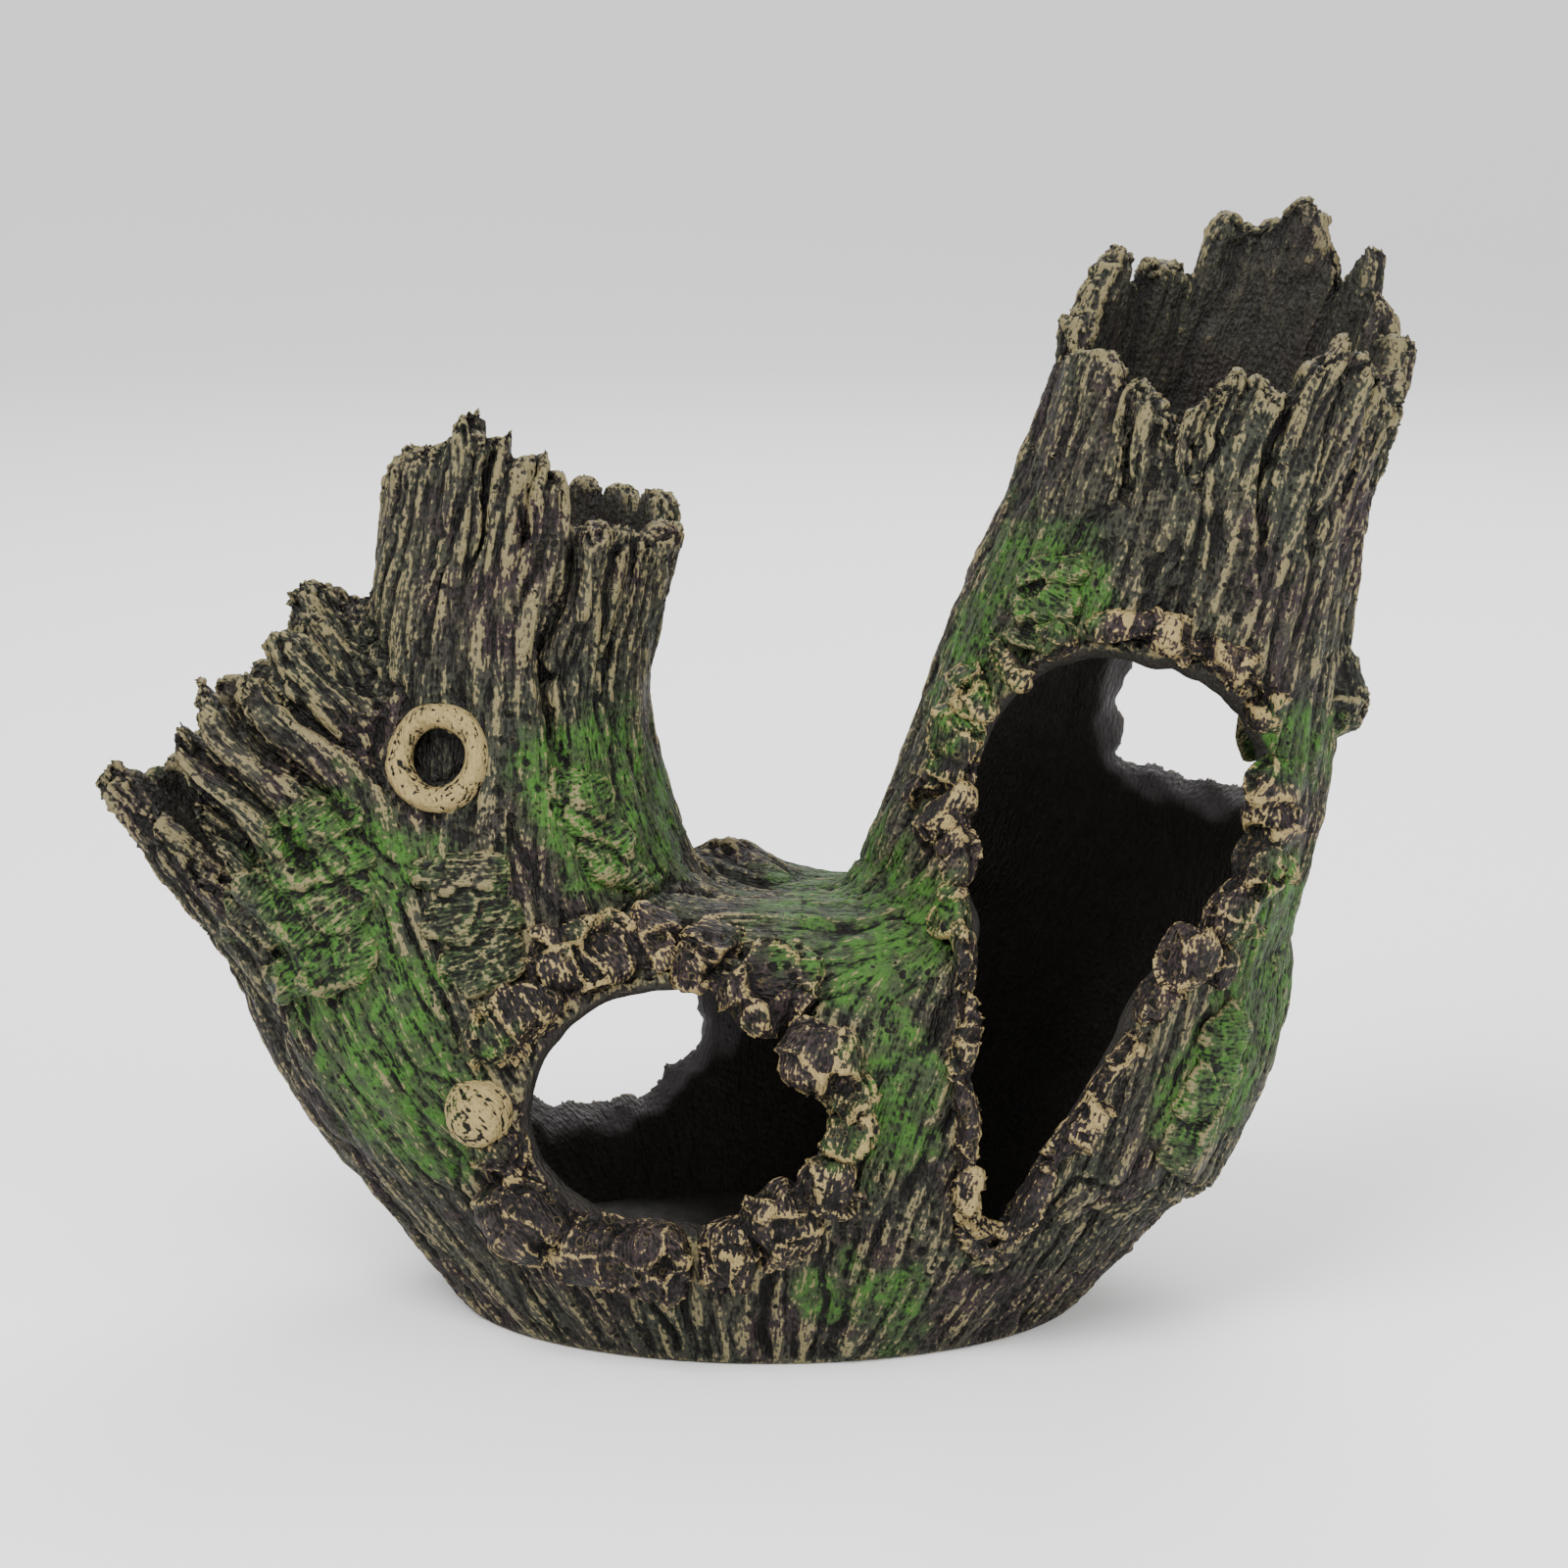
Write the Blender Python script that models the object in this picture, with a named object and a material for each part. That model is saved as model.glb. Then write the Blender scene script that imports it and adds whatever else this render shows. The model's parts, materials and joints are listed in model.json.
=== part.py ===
"""Hollow driftwood cave for an aquarium, cast in stone-filled resin.

Two hollow logs grow from one flat foot. The right one is a tall broken stump. The left one
carries a shorter stump and a side branch. A cave runs through each log from front to back.
The log walls are cut into sections at the seams, and the relief is separate lumps on them.

Row frame: +X to the viewer's right, +Y to the back, +Z up, origin on the foot's flat face.
"""

import math

import bmesh
import bpy
from mathutils import Vector
from mathutils.bvhtree import BVHTree

MM = 0.001
WALL = 4.5          # thickness of the cast wall
GAP = 0.3           # clearance between neighbouring pieces
FOOT_THICKNESS = 5.0
SEAM_X = 5.0        # the two logs meet at this plane, under the crotch
OVERSHOOT = 20.0    # how far the hollows run past each broken mouth

# A limb is a straight axis in the XZ plane, leaning towards +X by `lean` degrees from `start`.
# Its stations are (distance along the axis, sideways offset, half width, half depth), and its
# rim is the broken edge as (angle round the limb, distance along the axis). Angle 0 is the
# limb's right, 90 its back, 180 its left and 270 its front.
TRUNK_TOP = 60.0
TRUNK = {
    "start": (0.0, 0.0), "lean": 0.0,
    "stations": (
        (0, 0.5, 41.5, 30), (5, 1.0, 47.5, 33), (12, 1.5, 53, 35), (22, 2.0, 61.5, 37),
        (33, 1.1, 67.9, 37.5), (43, 0.8, 70.8, 36), (51, 1.5, 70, 33), (57, 2.0, 60, 27),
        (60, 3.0, 36, 16),
    ),
    "rim": tuple((angle, TRUNK_TOP) for angle in range(6, 366, 12)),
}
TALL = {
    "start": (30.0, 30.0), "lean": 17.0,
    "stations": (
        (0, 3.5, 31, 31), (16, 4.4, 30.6, 32), (31.6, 3.8, 29.5, 31), (48, 4.3, 28.4, 29),
        (60.6, 3.4, 27.7, 27), (79.1, 2.5, 24.2, 24.5), (92.6, 2.0, 23.4, 23.5),
        (101.9, 1.8, 23.4, 23), (112, 1.6, 24, 23), (128, 1.4, 24.4, 22.5),
    ),
    "rim": (
        (0, 115), (18, 112), (30, 119), (41, 126), (50, 118), (62, 126), (75, 128), (86, 121),
        (98, 123), (106, 116), (118, 113), (131, 113), (144, 116), (158, 111), (170, 106),
        (185, 103), (200, 100), (217, 103), (235, 101), (252, 98), (268, 107), (285, 103),
        (292, 109), (300, 114), (318, 111), (340, 106),
    ),
}
STUMP = {
    "start": (-38.0, 40.0), "lean": 8.0,
    "stations": (
        (0, 4.0, 28, 30), (10, 3.5, 28, 29), (20.5, 2.2, 26, 27), (35, -1.4, 21.6, 23.5),
        (47.9, -3.4, 19.4, 21), (61.7, -2.6, 20, 20), (68.4, -1.8, 20.4, 20),
        (76.4, -2.2, 20.3, 19.5), (86.5, -2.2, 19.5, 19),
    ),
    "rim": (
        (0, 71.5), (22, 75), (40, 72.5), (56, 74), (73, 74.5), (95, 72), (113, 76), (133, 73),
        (155, 78), (180, 75), (200, 77), (218, 79), (236, 86.5), (246, 79), (253, 83.5),
        (263, 80), (272, 83), (280, 78), (288, 70), (308, 73), (322, 70), (340, 72),
    ),
}
BRANCH = {
    "start": (-35.0, 40.0), "lean": -43.8,
    "stations": (
        (0, 1.0, 28, 31), (9.9, 0.5, 28, 29.5), (20, 1.0, 26.5, 27), (32, 1.5, 23.8, 24),
        (45, 1.6, 22.6, 21.5), (60, 3.0, 21.2, 19.5), (66, 3.5, 20, 18.5),
    ),
    "rim": (
        (0, 63), (25, 58), (50, 61), (75, 57), (100, 60), (130, 57), (160, 60), (185, 62),
        (203, 64), (217, 60), (228, 45), (236, 38), (243, 47), (250, 59), (255, 55),
        (262, 62.5), (269, 58), (278, 65.5), (287, 58), (295, 62), (303, 58), (312, 62),
        (330, 59), (348, 64),
    ),
}
LIMBS = {"trunk": TRUNK, "tall": TALL, "stump": STUMP, "branch": BRANCH}

# Seams square to each limb, as distances along it. A fourth seam parts the stump from the
# branch. It runs from where their two seams cross up to the valley between them, at (x, z).
TALL_SEAM_AT = 70.0
STUMP_SEAM_AT = 44.0
BRANCH_SEAM_AT = 33.0
LEFT_VALLEY = (-52.5, 101.0)

# Caves: centre (x, z) and half sizes of each opening. The upper front cave is a teardrop, the
# hull of its round top and a small round tip.
LOWER_FRONT = {"centre": (-11.5, 37.0), "half": (19.0, 17.0)}
LOWER_REAR = {"centre": (-18.5, 33.7), "half": (14.5, 14.0)}
UPPER_FRONT = {"centre": (47.5, 76.0), "radius": 17.5, "tip": (29.5, 19.5), "tip_radius": 1.5}
UPPER_REAR = {"centre": (59.5, 77.0), "half": (12.5, 12.0)}

# Knobs round the front caves: (angle, tube radius) read between the given angles.
LOWER_KNOBS = (
    (8, 3.4), (24, 2.3), (40, 4.2), (55, 4.4), (70, 2.6), (84, 3.6), (98, 2.2), (115, 3.8),
    (132, 4.0), (150, 3.6), (168, 2.2), (196, 2.4), (215, 3.4), (232, 4.6), (250, 4.0),
    (268, 4.6), (286, 4.4), (300, 4.8), (318, 4.2), (330, 2.8), (344, 3.8), (356, 2.4),
)
UPPER_KNOBS = (
    (0, 2.2), (14, 3.4), (30, 2.0), (60, 1.8), (95, 1.9), (128, 2.2), (142, 3.4), (158, 3.0),
    (168, 4.0), (180, 2.6), (190, 4.0), (205, 3.4), (222, 2.6), (318, 3.4), (330, 4.4),
    (344, 3.0),
)

# Bark shelves: each is a stack of plates, as (x, z, half length, half height, tilt).
SHELVES = {
    "side_bark_shelf": (
        (-61.0, 72.0, 7.5, 3.2, 12), (-62.5, 66.0, 8.5, 3.2, 10), (-62.0, 60.0, 9.5, 3.4, 16),
        (-60.0, 53.5, 9.5, 3.6, 18),
    ),
    "middle_bark_shelf": (
        (-40.5, 66.5, 6.5, 3.2, -6), (-40.0, 60.5, 7.0, 3.4, 6), (-38.0, 54.5, 6.0, 3.4, 14),
    ),
    "stump_bark_shelf": (
        (-24.5, 76.0, 5.5, 2.8, -18), (-22.5, 71.0, 6.5, 2.8, -14), (-20.5, 66.0, 5.5, 2.6, -8),
    ),
    "tall_bark_shelf": (
        (39.0, 106.3, 5.0, 2.4, -12), (38.2, 102.2, 6.0, 2.4, -10), (37.5, 98.2, 5.5, 2.3, -6),
    ),
    "foot_bark_shelf": (
        (62.0, 43.0, 5.5, 4.0, 40), (59.5, 36.0, 6.0, 4.0, 30), (57.0, 29.0, 5.0, 3.8, 40),
    ),
}
SHELF_PROUD = 2.6   # how far a plate stands off the wall

KNOT = {"centre": (-44.3, 81.0), "radius": 5.0, "tube": 2.1}
CAVE_KNOB = {"centre": (-38.6, 34.6), "radius": 4.6}
TWIG_STUB = {"centre": (78.0, -4.0, 85.0), "radius": 6.2, "length": 7.5, "pitch": 25.0}

RESIN_DARK = (0.060, 0.052, 0.046, 1.0)
RESIN_BARK = (0.150, 0.135, 0.095, 1.0)
RESIN_TAN = (0.480, 0.390, 0.215, 1.0)
RESIN_MOSS = (0.085, 0.210, 0.040, 1.0)


def clear_scene():
    for obj in list(bpy.data.objects):
        bpy.data.objects.remove(obj, do_unlink=True)


def resin(name, colour, roughness):
    """Painted resin: a matt Principled BSDF of one colour."""
    material = bpy.data.materials.new(name)
    material.use_nodes = True
    shader = material.node_tree.nodes["Principled BSDF"]
    shader.inputs["Base Color"].default_value = colour
    shader.inputs["Roughness"].default_value = roughness
    shader.inputs["Metallic"].default_value = 0.0
    return material


def read_between(table, column, at):
    """Straight-line reading of a table of stations, held at its ends."""
    if at <= table[0][0]:
        return table[0][column]
    for low, high in zip(table, table[1:]):
        if at <= high[0]:
            share = (at - low[0]) / (high[0] - low[0])
            return low[column] + share * (high[column] - low[column])
    return table[-1][column]


def frame_of(limb):
    """A limb's start, its axis and its sideways direction, in the row frame."""
    lean = math.radians(limb["lean"])
    start = Vector((limb["start"][0], 0.0, limb["start"][1]))
    axis = Vector((math.sin(lean), 0.0, math.cos(lean)))
    side = Vector((math.cos(lean), 0.0, -math.sin(lean)))
    return start, axis, side


def limb_point(limb, along, angle, grow):
    """The point on a limb's skin, `grow` outside it, at a distance along and an angle round."""
    start, axis, side = frame_of(limb)
    offset, half_width, half_depth = (read_between(limb["stations"], k, along) for k in (1, 2, 3))
    turn = math.radians(angle)
    sideways = offset + (half_width + grow) * math.cos(turn)
    back = Vector((0.0, (half_depth + grow) * math.sin(turn), 0.0))
    return (start + along * axis + sideways * side + back) * MM


def new_object(name, mesh):
    obj = bpy.data.objects.new(name, mesh)
    bpy.context.scene.collection.objects.link(obj)
    return obj


def object_from(name, bm):
    """A mesh object from a bmesh, with its faces pointing out."""
    bmesh.ops.recalc_face_normals(bm, faces=bm.faces)
    mesh = bpy.data.meshes.new(name)
    bm.to_mesh(mesh)
    bm.free()
    return new_object(name, mesh)


def bridge(bm, rings, closed=False):
    """Quads between each ring of vertices and the next, and back to the first if closed."""
    pairs = list(zip(rings, rings[1:])) + ([(rings[-1], rings[0])] if closed else [])
    for low, high in pairs:
        for i in range(len(low)):
            j = (i + 1) % len(low)
            bm.faces.new((low[i], low[j], high[j], high[i]))


def cap(bm, ring):
    """A fan from a ring to its middle point."""
    middle = bm.verts.new(sum((v.co for v in ring), Vector()) / len(ring))
    for i in range(len(ring)):
        bm.faces.new((ring[i], ring[(i + 1) % len(ring)], middle))


def loft(name, limb, grow, drop=0.0, flat_end=None):
    """A limb as a closed solid, `grow` outside its skin. `drop` starts it that far below its
    first station, and `flat_end` ends it square at that distance in place of the broken edge."""
    rim = limb["rim"] if flat_end is None else [(angle, flat_end) for angle, _ in limb["rim"]]
    lowest = min(along for _, along in rim)
    stations = [s[0] for s in limb["stations"] if s[0] < lowest - 1.0]
    stations[0] -= drop
    bm = bmesh.new()
    rings = [
        [bm.verts.new(limb_point(limb, s, angle, grow)) for angle, _ in rim] for s in stations
    ]
    rings.append([bm.verts.new(limb_point(limb, along, angle, grow)) for angle, along in rim])
    bridge(bm, rings)
    cap(bm, rings[0])
    cap(bm, rings[-1])
    return object_from(name, bm)


def copy_of(obj, name):
    return new_object(name, obj.data.copy())


def combine(target, operation, tools, keep_tools=False):
    """Applies one exact Boolean after another, and removes the tools."""
    for tool in tools:
        modifier = target.modifiers.new("cut", "BOOLEAN")
        modifier.operation = operation
        modifier.solver = "EXACT"
        modifier.object = tool
        graph = bpy.context.evaluated_depsgraph_get()
        mesh = bpy.data.meshes.new_from_object(target.evaluated_get(graph))
        target.modifiers.clear()
        target.data = mesh
    if not keep_tools:
        for tool in tools:
            bpy.data.objects.remove(tool, do_unlink=True)
    return target


def limb_seam(limb, along):
    """The plane square to a limb at a distance along it, as (point, normal along the limb)."""
    start, axis, _ = frame_of(limb)
    return tuple(start + along * axis), tuple(axis)


def parting_seam(stump_seam, branch_seam):
    """The plane from where two seams cross up to the valley, with its normal to the left."""
    (p, n), (q, m) = ((Vector(a), Vector(b)) for a, b in (stump_seam, branch_seam))
    determinant = n.x * m.z - n.z * m.x
    reach_n, reach_m = p.dot(n), q.dot(m)
    crossing = Vector((
        (reach_n * m.z - reach_m * n.z) / determinant, 0.0,
        (n.x * reach_m - m.x * reach_n) / determinant,
    ))
    up = Vector((LEFT_VALLEY[0], 0.0, LEFT_VALLEY[1])) - crossing
    return tuple(crossing), (-up.z, 0.0, up.x)


def flipped(plane):
    point, normal = plane
    return point, tuple(-n for n in normal)


def region(name, planes):
    """The block kept on the inner side of every plane, held half a gap away from each."""
    bm = bmesh.new()
    bmesh.ops.create_cube(bm, size=0.6)
    for point, normal in planes:
        away = Vector(normal).normalized()
        at = (Vector(point) - away * GAP / 2) * MM
        geometry = bm.verts[:] + bm.edges[:] + bm.faces[:]
        cut = bmesh.ops.bisect_plane(
            bm, geom=geometry, dist=1e-7, plane_co=at, plane_no=away, clear_outer=True
        )
        edges = [e for e in cut["geom_cut"] if isinstance(e, bmesh.types.BMEdge)]
        bmesh.ops.contextual_create(bm, geom=edges)
    return object_from(name, bm)


def prism(name, outline, y_from, y_to):
    """An outline in (x, z), carried straight along Y."""
    bm = bmesh.new()
    rings = [[bm.verts.new(Vector((x, y, z)) * MM) for x, z in outline] for y in (y_from, y_to)]
    bridge(bm, rings)
    for ring in rings:
        bm.faces.new(ring)
    return object_from(name, bm)


def oval(opening, sides=30):
    """The outline of an elliptic opening."""
    (x, z), (half_x, half_z) = opening["centre"], opening["half"]
    turns = [2 * math.pi * i / sides for i in range(sides)]
    return [(x + half_x * math.cos(t), z + half_z * math.sin(t)) for t in turns]


def teardrop(opening, sides=36, grow=0.0):
    """The hull of two circles: for each direction, the further of their two points."""
    circles = (
        (Vector(opening["centre"]), opening["radius"] + grow),
        (Vector(opening["tip"]), opening["tip_radius"] + grow),
    )
    outline = []
    for i in range(sides):
        turn = 2 * math.pi * i / sides
        out = Vector((math.cos(turn), math.sin(turn)))
        centre, radius = max(circles, key=lambda c: c[0].dot(out) + c[1])
        outline.append(tuple(centre + radius * out))
    return outline


def resampled(outline, count):
    """Points at even spacing along a closed outline."""
    points = [Vector(p) for p in outline] + [Vector(outline[0])]
    lengths = [(b - a).length for a, b in zip(points, points[1:])]
    step, at, travelled, k = sum(lengths) / count, 0.0, 0.0, 0
    found = []
    for _ in range(count):
        while travelled + lengths[k] < at:
            travelled += lengths[k]
            k += 1
        found.append(points[k].lerp(points[k + 1], (at - travelled) / max(lengths[k], 1e-9)))
        at += step
    return found


class Skin:
    """The uncut outer form of both logs: where relief is seated, and what trims its underside."""

    def __init__(self, outer):
        graph = bpy.context.evaluated_depsgraph_get()
        self.tree = BVHTree.FromObject(outer, graph)

    def front(self, x, z):
        """The point and the outward direction on the front of the skin at (x, z), in mm."""
        hit, normal, _, _ = self.tree.ray_cast(Vector((x, -200.0, z)) * MM, Vector((0, 1, 0)))
        return hit / MM, normal


def trimmed(obj, skin_block, others=()):
    """A piece of relief cut back to the skin, and clear of its neighbours."""
    return combine(obj, "DIFFERENCE", [skin_block, *others], keep_tools=True)


def bead(name, skin, outline, knobs, count, sides=8, grow=0.0):
    """A lumpy tube laid on the skin along a closed outline. `knobs` gives its radius by angle."""
    middle = sum((Vector(p) for p in outline), Vector((0, 0))) / len(outline)
    path, radii = [], []
    wrapped = [(knobs[-1][0] - 360, knobs[-1][1]), *knobs, (knobs[0][0] + 360, knobs[0][1])]
    for point in resampled(outline, count):
        away = point - middle
        path.append(skin.front(point.x, point.y)[0])
        angle = math.degrees(math.atan2(away.y, away.x)) % 360
        radii.append(read_between(wrapped, 1, angle) + grow)
    bm = bmesh.new()
    rings = []
    for i, (centre, radius) in enumerate(zip(path, radii)):
        along = (path[(i + 1) % count] - path[i - 1]).normalized()
        up = along.cross(Vector((0, -1, 0))).normalized()
        out = up.cross(along)
        turns = [2 * math.pi * k / sides for k in range(sides)]
        rings.append(
            [bm.verts.new((centre + radius * (math.cos(t) * up + math.sin(t) * out)) * MM) for t in turns]
        )
    bridge(bm, rings, closed=True)
    return object_from(name, bm)


def ball(name, centre, radii, tilt=0.0, segments=14, rings=8):
    """An ellipsoid, tilted about Y by `tilt` degrees."""
    bm = bmesh.new()
    bmesh.ops.create_uvsphere(bm, u_segments=segments, v_segments=rings, radius=1.0)
    turn = math.radians(tilt)
    for v in bm.verts:
        x, y, z = (c * r for c, r in zip(v.co, radii))
        turned = (x * math.cos(turn) - z * math.sin(turn), y, x * math.sin(turn) + z * math.cos(turn))
        v.co = (Vector(turned) + Vector(centre)) * MM
    return object_from(name, bm)


def shelf(skin, plates):
    """Overlapping bark plates, joined into one casting."""
    parts = []
    for k, (x, z, half_length, half_height, tilt) in enumerate(plates):
        seat, _ = skin.front(x, z)
        parts.append(ball(f"plate_{k}", seat, (half_length, SHELF_PROUD, half_height), tilt))
    return combine(parts[0], "UNION", parts[1:])


def knot_ring(name, skin, grow=0.0, sides=24, tube_sides=10):
    """The raised ring of a lost branch, square to the skin."""
    x, z = KNOT["centre"]
    seat, out = skin.front(x, z)
    across = Vector((1, 0, 0)) - out * out.x
    across.normalize()
    up = out.cross(across)
    bm = bmesh.new()
    rings = []
    for i in range(sides):
        turn = 2 * math.pi * i / sides
        away = math.cos(turn) * across + math.sin(turn) * up
        tube = [2 * math.pi * k / tube_sides for k in range(tube_sides)]
        rings.append([
            bm.verts.new(
                (seat + away * (KNOT["radius"] + (KNOT["tube"] + grow) * math.cos(t))
                 + out * (KNOT["tube"] + grow) * math.sin(t)) * MM
            )
            for t in tube
        ])
    bridge(bm, rings, closed=True)
    return object_from(name, bm)


def twig_stub(name, sides=12):
    """The snapped twig on the right: a short cone with a hollowed end."""
    base = Vector(TWIG_STUB["centre"])
    pitch = math.radians(TWIG_STUB["pitch"])
    out = Vector((math.cos(pitch), -math.sin(pitch), -0.12)).normalized()
    across = out.cross(Vector((0, 0, 1))).normalized()
    up = across.cross(out)
    profile = ((-6.0, 1.25), (0.0, 1.0), (0.6, 0.78), (0.9, 0.62), (0.66, 0.30))
    bm = bmesh.new()
    rings = []
    for along, share in profile:
        reach = along if along < 0 else along * TWIG_STUB["length"]
        turns = [2 * math.pi * k / sides for k in range(sides)]
        rings.append([
            bm.verts.new(
                (base + out * reach
                 + TWIG_STUB["radius"] * share * (math.cos(t) * across + math.sin(t) * up)) * MM
            )
            for t in turns
        ])
    bridge(bm, rings)
    cap(bm, rings[0])
    cap(bm, rings[-1])
    return object_from(name, bm)


def finish(obj, name, material):
    """Names a piece, gives it its material and shades it smooth."""
    obj.name = name
    obj.data.materials.clear()
    obj.data.materials.append(material)
    obj.data.shade_smooth()
    obj.data.set_sharp_from_angle(angle=math.radians(35))
    return obj


def foot_plate():
    """The flat resin plug that closes the trunk's open foot, and that the ornament stands on."""
    angles = [angle for angle, _ in TRUNK["rim"]]
    bm = bmesh.new()
    rings = [
        [bm.verts.new(limb_point(TRUNK, height, angle, -WALL - GAP)) for angle in angles]
        for height in (0.0, FOOT_THICKNESS)
    ]
    bridge(bm, rings)
    cap(bm, rings[0])
    cap(bm, rings[1])
    return object_from("foot_plate", bm)


def main():
    clear_scene()
    bark = resin("painted_bark", RESIN_BARK, 0.62)
    rim_paint = resin("rim_paint", RESIN_TAN, 0.55)
    moss = resin("moss_paint", RESIN_MOSS, 0.60)
    dark = resin("bare_resin", RESIN_DARK, 0.50)

    outer = [loft(f"outer_{name}", limb, 0.0) for name, limb in LIMBS.items()]
    walls = combine(outer[0], "UNION", outer[1:])
    skin = Skin(walls)
    grown = [loft(f"grown_{name}", limb, GAP) for name, limb in LIMBS.items()]
    skin_block = combine(grown[0], "UNION", grown[1:])

    hollows = [loft("hollow_trunk", TRUNK, -WALL, drop=10.0, flat_end=TRUNK_TOP - WALL)]
    for name in ("tall", "stump", "branch"):
        past_mouth = max(along for _, along in LIMBS[name]["rim"]) + OVERSHOOT
        hollows.append(loft(f"hollow_{name}", LIMBS[name], -WALL, flat_end=past_mouth))
    caves = [
        prism("lower_front_cut", oval(LOWER_FRONT), -60, -10),
        prism("lower_rear_cut", oval(LOWER_REAR), 10, 60),
        prism("upper_front_cut", teardrop(UPPER_FRONT), -60, -8),
        prism("upper_rear_cut", oval(UPPER_REAR), 8, 60),
    ]
    combine(walls, "DIFFERENCE", hollows + caves)

    tall_seam = limb_seam(TALL, TALL_SEAM_AT)
    stump_seam = limb_seam(STUMP, STUMP_SEAM_AT)
    branch_seam = limb_seam(BRANCH, BRANCH_SEAM_AT)
    parting = parting_seam(stump_seam, branch_seam)
    left_of_seam = ((SEAM_X, 0, 0), (1, 0, 0))
    in_front = ((0, 0, 0), (0, 1, 0))
    sections = {
        "left_front_shell": (left_of_seam, in_front, stump_seam, branch_seam),
        "left_rear_shell": (left_of_seam, flipped(in_front), stump_seam, branch_seam),
        "right_front_shell": (flipped(left_of_seam), in_front, tall_seam),
        "right_rear_shell": (flipped(left_of_seam), flipped(in_front), tall_seam),
        "tall_stump": (flipped(left_of_seam), flipped(tall_seam)),
        "left_stump": (left_of_seam, flipped(stump_seam), parting),
        "side_branch": (left_of_seam, flipped(branch_seam), flipped(parting)),
    }
    for name, planes in sections.items():
        section = combine(copy_of(walls, name), "INTERSECT", [region("cutter", planes)])
        finish(section, name, bark)
    bpy.data.objects.remove(walls, do_unlink=True)
    finish(foot_plate(), "foot_plate", dark)

    knob_x, knob_z = CAVE_KNOB["centre"]
    knob_seat, _ = skin.front(knob_x, knob_z)
    radius = CAVE_KNOB["radius"]
    knob = ball("cave_knob", knob_seat, (radius, radius, radius))
    knob_room = ball("knob_room", knob_seat, (radius + GAP,) * 3)
    finish(trimmed(knob, skin_block), "cave_knob", rim_paint)

    lower_line = oval({"centre": LOWER_FRONT["centre"], "half": (22.0, 20.0)}, 48)
    upper_line = teardrop(UPPER_FRONT, 48, grow=2.6)
    rims = {
        "lower_cave_rim": (lower_line, LOWER_KNOBS, 44),
        "upper_cave_rim": (upper_line, UPPER_KNOBS, 56),
    }
    rim_rooms = []
    for name, (line, knobs, count) in rims.items():
        rim = bead(name, skin, line, knobs, count)
        finish(trimmed(rim, skin_block, [knob_room, *rim_rooms]), name, rim_paint)
        rim_rooms.append(bead("rim_room", skin, line, knobs, count, grow=GAP))

    finish(trimmed(knot_ring("knot_ring", skin), skin_block), "knot_ring", rim_paint)
    finish(trimmed(twig_stub("twig_stub"), skin_block), "twig_stub", bark)
    for name, plates in SHELVES.items():
        finish(trimmed(shelf(skin, plates), skin_block, rim_rooms), name, moss)

    for helper in (knob_room, skin_block, *rim_rooms):
        bpy.data.objects.remove(helper, do_unlink=True)


main()
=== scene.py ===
"""The looks of a hollow driftwood cave, cast in stone-filled resin and painted by hand.

Two broken logs grow from one flat foot, with caves running through them from front to back.
The casting is worked out in millimetres and placed in the part's own frame, in metres.
"""
import json
import math

import bpy
import numpy as np
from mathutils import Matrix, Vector

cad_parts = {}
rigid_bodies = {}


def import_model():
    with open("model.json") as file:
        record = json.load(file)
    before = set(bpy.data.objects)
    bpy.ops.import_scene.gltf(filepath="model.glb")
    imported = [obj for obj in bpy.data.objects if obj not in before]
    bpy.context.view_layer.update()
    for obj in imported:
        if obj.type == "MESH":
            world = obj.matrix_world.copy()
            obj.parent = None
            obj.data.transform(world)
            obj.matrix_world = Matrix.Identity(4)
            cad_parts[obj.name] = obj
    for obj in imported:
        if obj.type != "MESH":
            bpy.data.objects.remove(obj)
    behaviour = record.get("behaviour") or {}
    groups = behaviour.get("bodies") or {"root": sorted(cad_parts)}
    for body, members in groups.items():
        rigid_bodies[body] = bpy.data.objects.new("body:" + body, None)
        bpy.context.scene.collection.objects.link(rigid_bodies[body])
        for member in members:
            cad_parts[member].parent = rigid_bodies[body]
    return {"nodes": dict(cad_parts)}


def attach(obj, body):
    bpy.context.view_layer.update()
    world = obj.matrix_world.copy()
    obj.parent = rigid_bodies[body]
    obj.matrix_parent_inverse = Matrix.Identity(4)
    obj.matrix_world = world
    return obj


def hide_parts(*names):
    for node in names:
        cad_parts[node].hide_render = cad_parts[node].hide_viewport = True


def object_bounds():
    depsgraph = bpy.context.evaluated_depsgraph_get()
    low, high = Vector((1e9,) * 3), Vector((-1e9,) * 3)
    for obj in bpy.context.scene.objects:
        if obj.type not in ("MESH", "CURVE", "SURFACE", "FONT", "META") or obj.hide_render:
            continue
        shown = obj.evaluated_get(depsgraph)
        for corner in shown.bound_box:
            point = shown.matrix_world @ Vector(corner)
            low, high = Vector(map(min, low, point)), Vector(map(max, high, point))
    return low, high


for leftover in list(bpy.data.objects):
    bpy.data.objects.remove(leftover, do_unlink=True)
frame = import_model()
cad_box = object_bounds()

# ---------------------------------------------------------------- the cast logs
# One hollow casting in stone-filled resin, slushed in a rubber mould, so its walls are a few
# millimetres thick. It has a wide trunk, a tall log, a short stump and a side branch, each
# with a splintered end.
MM = 0.001
WALL = 4.5
TRUNK_TOP = 60.0

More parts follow.
